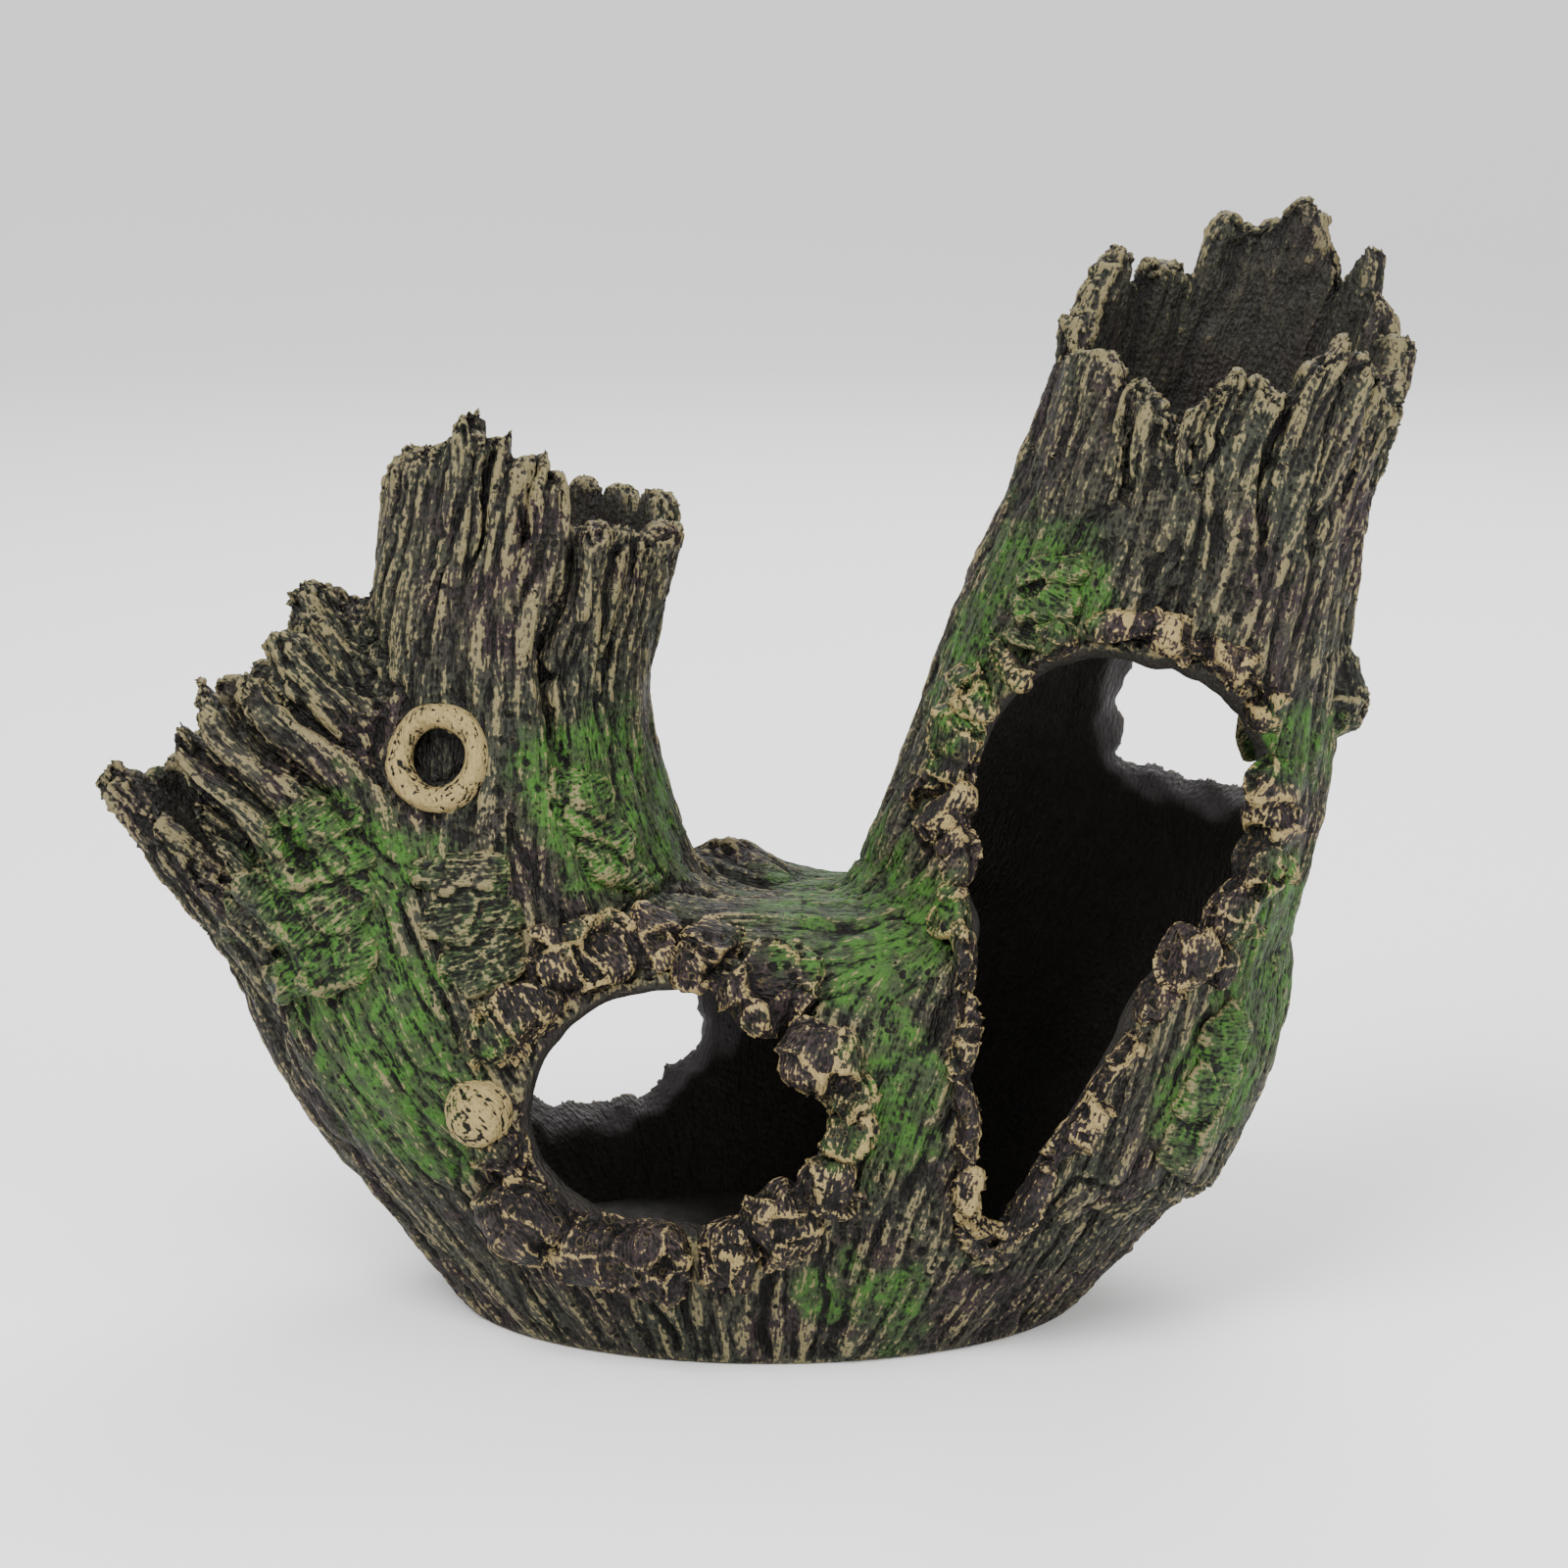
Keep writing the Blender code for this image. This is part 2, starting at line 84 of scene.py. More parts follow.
# A limb is a straight axis leaning towards +X by `lean` degrees from `start` (x, z). A
# station is (distance along, sideways offset, half width, half depth). The splintered end is
# (angle, distance along), with angle 0 at the right, 90 at the back and 270 at the front.
# "rib" is how far a splinter's ridge stands out at its end, and how far down it fades. A
# crack is (angle, half width, length down from the end, depth).
LIMBS = {
    "trunk": {
        "start": (0.0, 0.0), "lean": 0.0,
        "stations": (
            (0, 0.5, 41.5, 30), (5, 1.0, 47.5, 33), (12, 1.5, 53, 35), (22, 2.0, 61.5, 37),
            (33, 1.1, 67.9, 37.5), (43, 0.8, 70.8, 36), (51, 1.5, 70, 33), (57, 2.0, 60, 27),
            (60, 3.0, 36, 16),
        ),
        "end": ((0, TRUNK_TOP), (180, TRUNK_TOP)), "splinters": 0,
    },
    "tall": {
        "start": (30.0, 30.0), "lean": 17.0,
        "stations": (
            (0, 3.5, 31, 31), (16, 4.4, 30.6, 32), (31.6, 3.8, 29.5, 31), (48, 4.3, 28.4, 29),
            (60.6, 3.4, 27.7, 27), (79.1, 2.5, 24.2, 24.5), (92.6, 2.0, 23.4, 23.5),
            (101.9, 1.8, 23.4, 23), (112, 1.6, 24, 23), (128, 1.4, 24.4, 22.5),
        ),
        "end": (
            (0, 115), (18, 112), (30, 119), (41, 126), (50, 118), (62, 126), (75, 128),
            (86, 121), (98, 123), (106, 116), (118, 113), (131, 113), (144, 116), (158, 111),
            (170, 106), (185, 103), (200, 100), (217, 103), (235, 101), (252, 98), (268, 107),
            (285, 103), (292, 109), (300, 114), (318, 111), (340, 106),
        ),
        "splinters": 13, "rib": (1.7, 10.0),
        "cracks": (
            (236, 0.9, 22, 2.4), (262, 0.8, 16, 2.2), (285, 1.0, 26, 2.6), (318, 0.8, 24, 2.0),
        ),
    },
    "stump": {
        "start": (-38.0, 40.0), "lean": 8.0,
        "stations": (
            (0, 4.0, 28, 30), (10, 3.5, 28, 29), (20.5, 2.2, 26, 27), (35, -1.4, 21.6, 23.5),
            (47.9, -3.4, 19.4, 21), (61.7, -2.6, 20, 20), (68.4, -1.8, 20.4, 20),
            (76.4, -2.2, 20.3, 19.5), (86.5, -2.2, 19.5, 19),
        ),
        "end": (
            (0, 71.5), (22, 75), (40, 72.5), (56, 74), (73, 74.5), (95, 72), (113, 76),
            (133, 73), (155, 78), (180, 75), (200, 77), (218, 79), (236, 84.5), (246, 79),
            (253, 83.5), (263, 80), (272, 83), (280, 78), (288, 70), (308, 73), (322, 70),
            (340, 72),
        ),
        "splinters": 13, "rib": (1.6, 12.0),
        "cracks": (
            (291, 1.1, 42, 3.6), (268, 0.8, 18, 2.4), (251, 0.8, 22, 2.4), (318, 0.8, 24, 2.0),
        ),
    },
    "branch": {
        "start": (-35.0, 40.0), "lean": -43.8,
        "stations": (
            (0, 1.0, 28, 31), (9.9, 0.5, 28, 29.5), (20, 1.0, 26.5, 27), (32, 1.5, 23.8, 24),
            (45, 1.6, 22.6, 21.5), (60, 3.0, 21.2, 19.5), (66, 3.5, 20, 18.5),
        ),
        "end": (
            (0, 63), (25, 58), (50, 61), (75, 57), (100, 60), (130, 57), (160, 60), (185, 62),
            (203, 64), (217, 60), (228, 45), (236, 38), (243, 47), (250, 59), (255, 55),
            (262, 62.5), (269, 58), (278, 65.5), (287, 58), (295, 62), (303, 58), (312, 62),
            (330, 59), (348, 64),
        ),
        "splinters": 20, "rib": (2.1, 24.0),
        "cracks": (
            (250, 1.0, 22, 2.8), (266, 0.9, 30, 2.8), (284, 1.0, 24, 2.8), (303, 0.9, 20, 2.4),
        ),
    },
}
STATION_STEP = 0.5          # spacing of the smoothed stations
STATION_FROM = -40.0
STATION_COUNT = 400
STATION_BLUR = 4.0          # how far a station's change is spread along the limb
TURN_COUNT = 2048           # readings round a limb's end
TURN_STEP = 360.0 / TURN_COUNT
STRANDS = 3                 # strands across each splinter
HUMP_X, HUMP_WIDTH, HUMP_HEIGHT = -5.0, 7.0, 6.0    # a swelling behind the trunk's saddle
LIMB_BLEND, HOLLOW_BLEND = 5.5, 6.0                 # how widely limbs and hollows run together
SKIN_TRIM = 0.6


def spread(values, sigma, step, wrap=False):
    """A row of readings, each replaced by the bell-weighted mean of its neighbours."""
    reach = int(3 * sigma / step) + 1
    bell = np.exp(-0.5 * (np.arange(-reach, reach + 1) * step / sigma) ** 2)
    mode = "wrap" if wrap else "edge"
    return np.convolve(np.pad(values, reach, mode=mode), bell / bell.sum(), mode="valid")


def read_row(row, at):
    """Straight-line reading of an evenly spaced row at fractional places, held at its ends."""
    at = np.clip(at, 0, len(row) - 1.001)
    low = at.astype(np.int32)
    share = at - low
    return row[low] * (1 - share) + row[low + 1] * share


def slices(turn, count, rng):
    """Cuts the circle into uneven slices. Returns each reading's slice and its place across
    it: x = (2 turn - low - high) / (high - low), from -1 to 1."""
    edges = (np.arange(count + 1) + rng.uniform(-0.28, 0.28, count + 1)) * 360.0 / count
    edges[-1] = edges[0] + 360.0
    cell = np.searchsorted(edges, turn, side="right") - 1
    turned = np.where(cell < 0, turn + 360.0, turn)
    cell = np.where(cell < 0, count - 1, np.minimum(cell, count - 1))
    low, high = edges[cell], edges[cell + 1]
    return cell, (2 * turned - low - high) / (high - low)


def prepare_limb(limb, seed):
    """Turns a limb's tables into smooth rows: its sections along it, and its splinters.

    A splinter is a slice of the circle. Across it, x runs from -1 to 1. Its ridge is
    1 - |x|^2.4 with three strands of 0.35 (1 - x^2) on it, and its tip is the end's height
    less a notch times |x|^4.
    """
    stations = np.array(limb["stations"], float)
    along = STATION_FROM + STATION_STEP * np.arange(STATION_COUNT)
    rows = [np.interp(along, stations[:, 0], stations[:, k]) for k in (1, 2, 3)]
    limb["rows"] = [spread(row, STATION_BLUR, STATION_STEP).astype(np.float32) for row in rows]
    lean = math.radians(limb["lean"])
    limb["axis"] = (math.sin(lean), math.cos(lean))
    turn = np.arange(TURN_COUNT) * TURN_STEP
    angles, heights = np.array(limb["end"], float).T
    end = np.interp(turn, np.r_[angles - 360, angles, angles + 360], np.tile(heights, 3))
    count = limb["splinters"]
    ridge = np.zeros(TURN_COUNT)
    if count:
        rng = np.random.default_rng(seed)
        cell, x = slices(turn, count, rng)
        _, strand_x = slices(turn, STRANDS * count, rng)
        ridge = 1 - np.abs(x) ** 2.4 + 0.35 * (1 - strand_x**2)
        tip = rng.uniform(-1.0, 1.2, count)[cell]
        notch = rng.uniform(1.5, 4.5, count)[cell]
        end = spread(end, 2.5, TURN_STEP, wrap=True)[:TURN_COUNT] + tip - notch * np.abs(x) ** 4
        end = end + 0.5 * (1 - strand_x**2) - 1.3
        end, ridge = (spread(row, 0.8, TURN_STEP, wrap=True)[:TURN_COUNT] for row in (end, ridge))
    limb["end_row"] = np.r_[end, end[:1]].astype(np.float32)
    limb["ridge_row"] = np.r_[ridge, ridge[:1]].astype(np.float32)


for seed, limb in enumerate(LIMBS.values()):
    prepare_limb(limb, seed + 11)


def limb_place(limb, x, y, z):
    """A point's distance along a limb, its offset across it, and the section's two radii."""
    (sx, sz), (ax, az) = limb["start"], limb["axis"]
    along = (x - sx) * ax + (z - sz) * az
    across = (x - sx) * az - (z - sz) * ax
    at = (along - STATION_FROM) / STATION_STEP
    offset, wide, deep = (read_row(row, at) for row in limb["rows"])
    return along, across - offset, wide, deep


def oval_distance(u, w, a, b):
    """Distance to an oval of radii a and b: k0 (k0 - 1) / k1, with k0 = |(u/a, w/b)| and k1 =
    |(u/a^2, w/b^2)|. It is exact on the oval and on a circle."""
    k0 = np.hypot(u / a, w / b)
    k1 = np.hypot(u / (a * a), w / (b * b)) + 1e-6
    return k0 * (k0 - 1) / k1


def smooth_min(a, b, k):
    """The lower of two fields, with the crease between them rounded over a width k."""
    h = np.clip(0.5 + 0.5 * (b - a) / k, 0, 1)
    return b * (1 - h) + a * h - k * h * (1 - h)


def smooth_max(a, b, k):
    """The higher of two fields, with the crease between them rounded over a width k."""
    return -smooth_min(-a, -b, k)


def smoothstep(low, high, x):
    """0 below low, 1 above high, and 3t^2 - 2t^3 between them."""
    t = np.clip((x - low) / (high - low), 0, 1)
    return t * t * (3 - 2 * t)


def limb_fields(name, x, y, z):
    """A limb's outer and inner fields, and the distance below its broken end. A field is the
    distance to its skin, ribbed by the splinters, which stand out most at the broken end."""
    limb = LIMBS[name]
    along, across, wide, deep = limb_place(limb, x, y, z)
    if not limb["splinters"]:
        outer = oval_distance(across, y, wide, deep)
        inner = oval_distance(across, y, wide - WALL, deep - WALL)
        hump = HUMP_HEIGHT * np.exp(-(((x - HUMP_X) / HUMP_WIDTH) ** 2)) * smoothstep(2.0, 14.0, y)
        top = TRUNK_TOP - 2.7 - 0.12 * y + hump
        outer = smooth_max(outer, along - top, 6.0)
        inner = smooth_max(inner, along - top + WALL, 4.0)
        return outer, inner, 0 * along + TRUNK_TOP
    turn = np.arctan2(y / deep, across / wide)
    turn = turn + 0.05 * np.sin(along / 7.0) + 0.03 * np.sin(along / 3.1 + 2 * turn)
    at = (turn % (2 * np.pi)) * (TURN_COUNT / (2 * np.pi))
    end = read_row(limb["end_row"], at)
    ridge = read_row(limb["ridge_row"], at)
    below = np.clip(end - along, 0, None)
    rise, fade = limb["rib"]
    rib = (0.5 + rise * np.exp(-below / fade)) * (ridge - 0.9)
    for crack_turn, width, fade, depth in limb["cracks"]:
        away = np.abs((turn - math.radians(crack_turn) + np.pi) % (2 * np.pi) - np.pi) * wide
        rib = rib - depth * np.exp(-((away / width) ** 2)) * smoothstep(fade, 0.6 * fade, below)
    outer = oval_distance(across, y, wide, deep) - rib
    inner = oval_distance(across, y, wide - WALL, deep - WALL)
    inner = inner + 0.9 * np.exp(-below / 18.0) * (ridge - 0.5)
    outer = smooth_max(outer, 0.8 * (along - end), 2.4)
    outer = smooth_max(outer, -along - 4.0, 4.0)
    inner = smooth_max(inner, -along - 2.0, 4.0)
    return outer, inner, below


def body_fields(x, y, z):
    """The uncut logs: every limb's outer skin run together, and every hollow run together.
    Running together fills the creases, so the skin is then drawn in by SKIN_TRIM."""
    outer = inner = None
    for name in LIMBS:
        o, i, _ = limb_fields(name, x, y, z)
        outer = o if outer is None else smooth_min(outer, o, LIMB_BLEND)
        inner = i if inner is None else smooth_min(inner, i, HOLLOW_BLEND)
    return outer + SKIN_TRIM, inner


# ---------------------------------------------------------------- the caves
# Two openings at the front and two smaller ones behind, broken through the walls with a
# ragged, softly rounded edge. Each outline is a ring of (x, z) points, with a smooth curve
# carried through them. "widen" is how much wider the cut is at the skin and at the hollow.
CAVES = {
    "lower_front": {
        "side": -1, "rough": 0.5, "widen": (1.8, 0.0),
        "ring": (
            (7.2, 37.5), (4.4, 43.7), (-1.3, 48.1), (-10.4, 49.8), (-19.5, 48.1),
            (-25.7, 43.5), (-28.6, 37.3), (-27.8, 29.5), (-23, 23.7), (-15.3, 21.4),
            (-6.6, 21), (1, 24), (5.8, 29.8),
        ),
    },
    "upper_front": {
        "side": -1, "rough": 0.5, "widen": (2.6, 0.0),
        "ring": (
            (28.7, 18.1), (28.2, 30.6), (27.8, 45), (28.8, 57.2), (27.4, 64.8),
            (28.5, 75.4), (32.7, 84.9), (39.1, 90.2), (46.6, 91.4), (54.2, 89.3),
            (60.1, 83.9), (62.9, 75.7), (62.6, 68), (58.2, 60.4), (51.8, 54.6), (46, 48.3),
            (41.8, 39.7), (36.6, 30.4), (31.9, 23.1),
        ),
    },
    "lower_rear": {
        "side": 1, "rough": 1.9, "widen": (0.0, 5.0),
        "ring": (
            (-9.5, 31.9), (-11.6, 40.6), (-17.4, 44), (-25.9, 43), (-34, 38.1),
            (-36.2, 29.4), (-34.4, 22.4), (-28, 18.8), (-19.2, 18.4), (-14.9, 23.2),
            (-10.6, 26.5),
        ),
    },
    "upper_rear": {
        "side": 1, "rough": 1.9, "widen": (0.0, 5.0),
        "ring": (
            (73.4, 78.2), (70.6, 85.2), (63.1, 88.3), (55.5, 87), (51.2, 81.5),
            (50.8, 74.6), (54.4, 69.4), (62.3, 68.2), (70.4, 70.2),
        ),
    },
}
CAVE_FROM = 10.0            # a cave starts this far from the middle of the logs
NOISE_SIZE = 64
noise_table = np.random.default_rng(5).uniform(-1, 1, (NOISE_SIZE,) * 3).astype(np.float32).ravel()


def noise(x, y, z, wave, seed=0):
    """Smooth noise from -1 to 1: random values on a lattice of spacing `wave`, blended between
    its eight nearest points by the curve 3t^2 - 2t^3."""
    out = 0
    cells, fades = [], []
    for k, c in enumerate((x, y, z)):
        q = c / wave + (17.31 + 9.7 * k) * (seed + 1)
        low = np.floor(q)
        t = (q - low).astype(np.float32)
        cells.append(low.astype(np.int32) % NOISE_SIZE)
        fades.append(t * t * (3 - 2 * t))
    for i in (0, 1):
        xi = ((cells[0] + i) % NOISE_SIZE) * NOISE_SIZE * NOISE_SIZE
        fx = fades[0] if i else 1 - fades[0]
        for j in (0, 1):
            yi = xi + ((cells[1] + j) % NOISE_SIZE) * NOISE_SIZE
            fy = fx * (fades[1] if j else 1 - fades[1])
            for k in (0, 1):
                zi = yi + (cells[2] + k) % NOISE_SIZE
                out = out + fy * (fades[2] if k else 1 - fades[2]) * noise_table[zi]
    return out


def smooth_ring(points, per_side=6):
    """A closed curve through a ring of points: on each side, the cubic whose end slopes are
    half the step between the neighbours."""
    p = np.array(points, float)
    before, after, beyond = np.roll(p, 1, 0), np.roll(p, -1, 0), np.roll(p, -2, 0)
    t = (np.arange(per_side) / per_side)[None, :, None]
    a, b = p[:, None], after[:, None]
    ma, mb = 0.5 * (after - before)[:, None], 0.5 * (beyond - p)[:, None]
    curve = (2 * t**3 - 3 * t**2 + 1) * a + (t**3 - 2 * t**2 + t) * ma
    curve = curve + (3 * t**2 - 2 * t**3) * b + (t**3 - t**2) * mb
    return curve.reshape(-1, 2)


def ring_distance(ring, x, z):
    """Signed distance in the XZ plane to a closed ring: the nearest of its sides, negative
    where a ray crosses the ring an odd number of times."""
    gap = np.full(np.shape(x), np.inf)
    inside = np.zeros(np.shape(x), bool)
    for (ax, az), (bx, bz) in zip(ring, np.roll(ring, -1, 0)):
        ex, ez = bx - ax, bz - az
        t = np.clip(((x - ax) * ex + (z - az) * ez) / (ex * ex + ez * ez), 0, 1)
        gap = np.minimum(gap, np.hypot(x - ax - t * ex, z - az - t * ez))
        if az != bz:
            spans = (az > z) != (bz > z)
            inside ^= spans & (x < ax + (z - az) / ez * ex)
    return np.where(inside, -gap, gap)


MAP_STEP = 0.5              # spacing of the maps seen from the front
MARGIN = 6.0                # how far the maps reach past the part's box
lowest = np.array(cad_box[0]) / MM
highest = np.array(cad_box[1]) / MM
MAP_FROM = np.floor(lowest - MARGIN)
map_x = np.arange(MAP_FROM[0], highest[0] + MARGIN, MAP_STEP)
map_z = np.arange(MAP_FROM[2], highest[2] + MARGIN, MAP_STEP)
flat_x, flat_z = np.meshgrid(map_x, map_z, indexing="ij")


def read_map(grid, x, z):
    """Reading of a map at (x, z), blended between its four nearest points."""
    i = np.clip((x - map_x[0]) / MAP_STEP, 0, len(map_x) - 1.001)
    k = np.clip((z - map_z[0]) / MAP_STEP, 0, len(map_z) - 1.001)
    i0, k0 = i.astype(np.int32), k.astype(np.int32)
    u, v = (i - i0).astype(np.float32), (k - k0).astype(np.float32)
    low = grid[i0, k0] * (1 - v) + grid[i0, k0 + 1] * v
    high = grid[i0 + 1, k0] * (1 - v) + grid[i0 + 1, k0 + 1] * v
    return low * (1 - u) + high * u


cave_maps = {}
for name, cave in CAVES.items():
    flat = (flat_x, 0 * flat_x, flat_z)
    ragged = noise(*flat, 6.0, 1) + 0.6 * noise(*flat, 2.6, 2)
    gap = ring_distance(smooth_ring(cave["ring"]), flat_x, flat_z)
    cave_maps[name] = (gap + cave["rough"] * ragged).astype(np.float32)


def cave_field(name, x, y, z, outer):
    """Positive inside a cave: its outline carried along Y from near the middle, and widened
    in a straight slope from the skin to the hollow."""
    side, (at_skin, at_hollow) = CAVES[name]["side"], CAVES[name]["widen"]
    widen = at_skin + (at_hollow - at_skin) * np.clip(-outer, 0, WALL) / WALL
    return -np.maximum(read_map(cave_maps[name], x, z) - widen, CAVE_FROM - side * y)


KNOT = (-42.4, 79.5)        # the blind hole of a lost branch, seen from the front
KNOT_HOLE = 3.9             # its radius
KNOT_DEPTH = 1.6
EDGE_ROUND = {"hollow": 1.6, "cave": 2.2, "knot": 0.8, "foot": 0.6}     # rounding of cut edges


def wall_field(x, y, z):
    """Distance to the cast walls, negative inside them, with the hollow and caves cut out."""
    outer, inner = body_fields(x, y, z)
    field = smooth_max(outer, -inner, EDGE_ROUND["hollow"])
    for name in CAVES:
        field = smooth_max(field, cave_field(name, x, y, z, outer), EDGE_ROUND["cave"])
    hole = np.hypot(x - KNOT[0], z - KNOT[1]) - KNOT_HOLE
    hole = np.maximum(hole, np.maximum(y, -outer - KNOT_DEPTH))
    field = smooth_max(field, -hole, EDGE_ROUND["knot"])
    return smooth_max(field, -z, EDGE_ROUND["foot"]), outer, inner


# ---------------------------------------------------------------- the casting, cut at its seams
# Seven wall sections: the trunk's front and back, each in a left and a right half, and the
# three limbs. They are cast with matching edges and glued into one skin before painting.
SEAM_X = 5.0                # the trunk's left and right halves meet here
SEAMS = {"tall": 70.0, "stump": 44.0, "branch": 33.0}       # distance along each limb
LEFT_VALLEY = (-52.5, 101.0)
SECTIONS = (
    "left_front_shell", "left_rear_shell", "right_front_shell", "right_rear_shell",
    "tall_stump", "left_stump", "side_branch",
)


def past_seam(name, x, z):
    """How far a point is past a limb's seam, along the limb."""
    (sx, sz), (ax, az) = LIMBS[name]["start"], LIMBS[name]["axis"]
    return (x - sx) * ax + (z - sz) * az - SEAMS[name]


def parting_line():
    """Where the stump's and the branch's seams cross, and the way up to the left valley."""
    rows = []
    for name in ("stump", "branch"):
        (sx, sz), (ax, az) = LIMBS[name]["start"], LIMBS[name]["axis"]
        rows.append((ax, az, SEAMS[name] + sx * ax + sz * az))
    (a, b, c), (d, e, f) = rows
    crossing = np.linalg.solve(np.array([[a, b], [d, e]]), np.array([c, f]))
    return crossing, np.array(LEFT_VALLEY) - crossing


parting_at, parting_up = parting_line()


def section_of(x, y, z):
    """The section, 1 to 7, that each point of the casting belongs to."""
    right = x > SEAM_X
    front = y < 0
    above_stump, above_branch = past_seam("stump", x, z) > 0, past_seam("branch", x, z) > 0
    left_of_parting = (x - parting_at[0]) * -parting_up[1] + (z - parting_at[1]) * parting_up[0] > 0
    shell = np.where(right, np.where(front, 3, 4), np.where(front, 1, 2))
    label = np.where(right & (past_seam("tall", x, z) > 0), 5, shell)
    label = np.where(~right & above_stump & ~left_of_parting, 6, label)
    return np.where(~right & above_branch & left_of_parting, 7, label).astype(np.int8)


FINE = 0.5                  # spacing of the samples that carry the casting's surface
BLOCK = 4                   # samples along a side of the blocks that are tried first
BAND = 2.8                  # a block this close to the surface is sampled finely
BATCH = 8000                # blocks sampled at a time


def surface_nets(values, labels, origin, step):
    """Surface nets: a vertex in every cell whose eight corners don't all carry one label, at
    the mean of the crossings on its edges, and a quad across every edge between two labels.
    Crossings to the outside count alone where there are any, so sections share their seam's
    outer line. Returns vertices and, for each label, its quads facing outwards."""
    shape = labels.shape
    inner = tuple(n - 1 for n in shape)
    corners = [(i, j, k) for i in (0, 1) for j in (0, 1) for k in (0, 1)]

    def shifted(array, i, j, k):
        return array[i:i + inner[0], j:j + inner[1], k:k + inner[2]]

    first = shifted(labels, 0, 0, 0)
    mixed = np.zeros(inner, bool)
    for corner in corners[1:]:
        mixed |= shifted(labels, *corner) != first
    cells = np.flatnonzero(mixed)
    ci, cj, ck = np.unravel_index(cells, inner)
    index = np.full(inner, -1, np.int32)
    index.ravel()[cells] = np.arange(len(cells), dtype=np.int32)
    corner_label = {c: labels[ci + c[0], cj + c[1], ck + c[2]] for c in corners}
    corner_value = {c: values[ci + c[0], cj + c[1], ck + c[2]] for c in corners}
    total = np.zeros((len(cells), 3))
    count = np.zeros(len(cells))
    seam_total = np.zeros((len(cells), 3))
    seam_count = np.zeros(len(cells))
    for axis in range(3):
        for low in corners:
            if low[axis]:
                continue
            high = tuple(c + (n == axis) for n, c in enumerate(low))
            a, b = corner_label[low], corner_label[high]
            va, vb = corner_value[low], corner_value[high]
            skin = (a == 0) != (b == 0)
            t = np.clip(np.where(skin, va / np.where(va == vb, 1, va - vb), 0.5), 0.02, 0.98)
            point = np.empty((len(cells), 3))
            for n in range(3):
                point[:, n] = low[n] + (t if n == axis else 0.0)
            total += point * skin[:, None]
            count += skin
            seam = (a != b) & ~skin
            seam_total += point * seam[:, None]
            seam_count += seam
    on_skin = count > 0
    middle = np.where(on_skin[:, None], total / np.maximum(count, 1)[:, None],
                      seam_total / np.maximum(seam_count, 1)[:, None])
    vertices = origin + step * (np.stack([ci, cj, ck], 1) + middle)
    faces = {}
    for axis in range(3):
        second, third = (axis + 1) % 3, (axis + 2) % 3
        low = [slice(1, n - 1) for n in shape]
        low[axis] = slice(0, shape[axis] - 1)
        high = list(low)
        high[axis] = slice(1, shape[axis])
        a, b = labels[tuple(low)], labels[tuple(high)]
        at = np.stack(np.nonzero(a != b), 1)
        at += np.array([0 if n == axis else 1 for n in range(3)])
        la = labels[tuple(at.T)]
        up = at.copy()
        up[:, axis] += 1
        lb = labels[tuple(up.T)]
        ring = []
        for ds, dt in ((-1, -1), (0, -1), (0, 0), (-1, 0)):
            cell = at.copy()
            cell[:, second] += ds
            cell[:, third] += dt
            ring.append(index[tuple(cell.T)])
        quad = np.stack(ring, 1)
        skin = (la == 0) | (lb == 0)
        for label in np.unique(np.r_[la, lb]):
            if label == 0:
                continue
            faces.setdefault(int(label), []).append((quad[la == label], skin[la == label]))
            faces[int(label)].append((quad[lb == label][:, ::-1], skin[lb == label]))
    return vertices, on_skin, {
        label: (np.concatenate([q for q, _ in parts]), np.concatenate([s for _, s in parts]))
        for label, parts in faces.items()
    }


def sample_blocks(field, low, high, step):
    """Samples a field on a grid, finely only in the blocks near its surface. A block further
    off takes its middle's sign. Returns the values and the grid's corner."""
    blocks = [int(math.ceil((high[k] - low[k]) / (step * BLOCK))) + 1 for k in range(3)]
    middles = [low[k] + step * (BLOCK * np.arange(blocks[k]) + (BLOCK - 1) / 2) for k in range(3)]
    bx, by, bz = np.meshgrid(*middles, indexing="ij")
    rough = field(*(c.ravel().astype(np.float32) for c in (bx, by, bz))).reshape(blocks)
    values = np.sign(rough).astype(np.float32) * BAND
    for k in range(3):
        values = np.repeat(values, BLOCK, axis=k)
    near = np.argwhere(np.abs(rough) < BAND * step / FINE)
    in_block = np.stack(np.meshgrid(*[np.arange(BLOCK)] * 3, indexing="ij"), -1).reshape(1, -1, 3)
    for part in np.array_split(near, max(1, len(near) // BATCH)):
        at = (part[:, None] * BLOCK + in_block).reshape(-1, 3)
        x, y, z = (low + step * at).astype(np.float32).T
        values[tuple(at.T)] = field(x, y, z)
    return values, np.array(low, float)


def vertex_normals(vertices, quads):
    """Each vertex's normal: the sum of its quads' area vectors, brought to unit length."""
    a, b, c, d = (vertices[quads[:, k]] for k in range(4))
    area = np.cross(c - a, d - b)
    total = np.stack([
        np.bincount(quads.ravel(), np.repeat(area[:, k], 4), len(vertices)) for k in range(3)
    ], 1)
    return total / np.maximum(np.linalg.norm(total, axis=1), 1e-9)[:, None]


VALLEY = (5.0, 80.0)        # the bark swirls round this line, above the dip between the logs
VALLEY_REACH = (22.0, 36.0)
TRUNK_FAN = ((-62, -48), (-40, -38), (-15, -8), (15, 20), (40, 26), (65, 18))


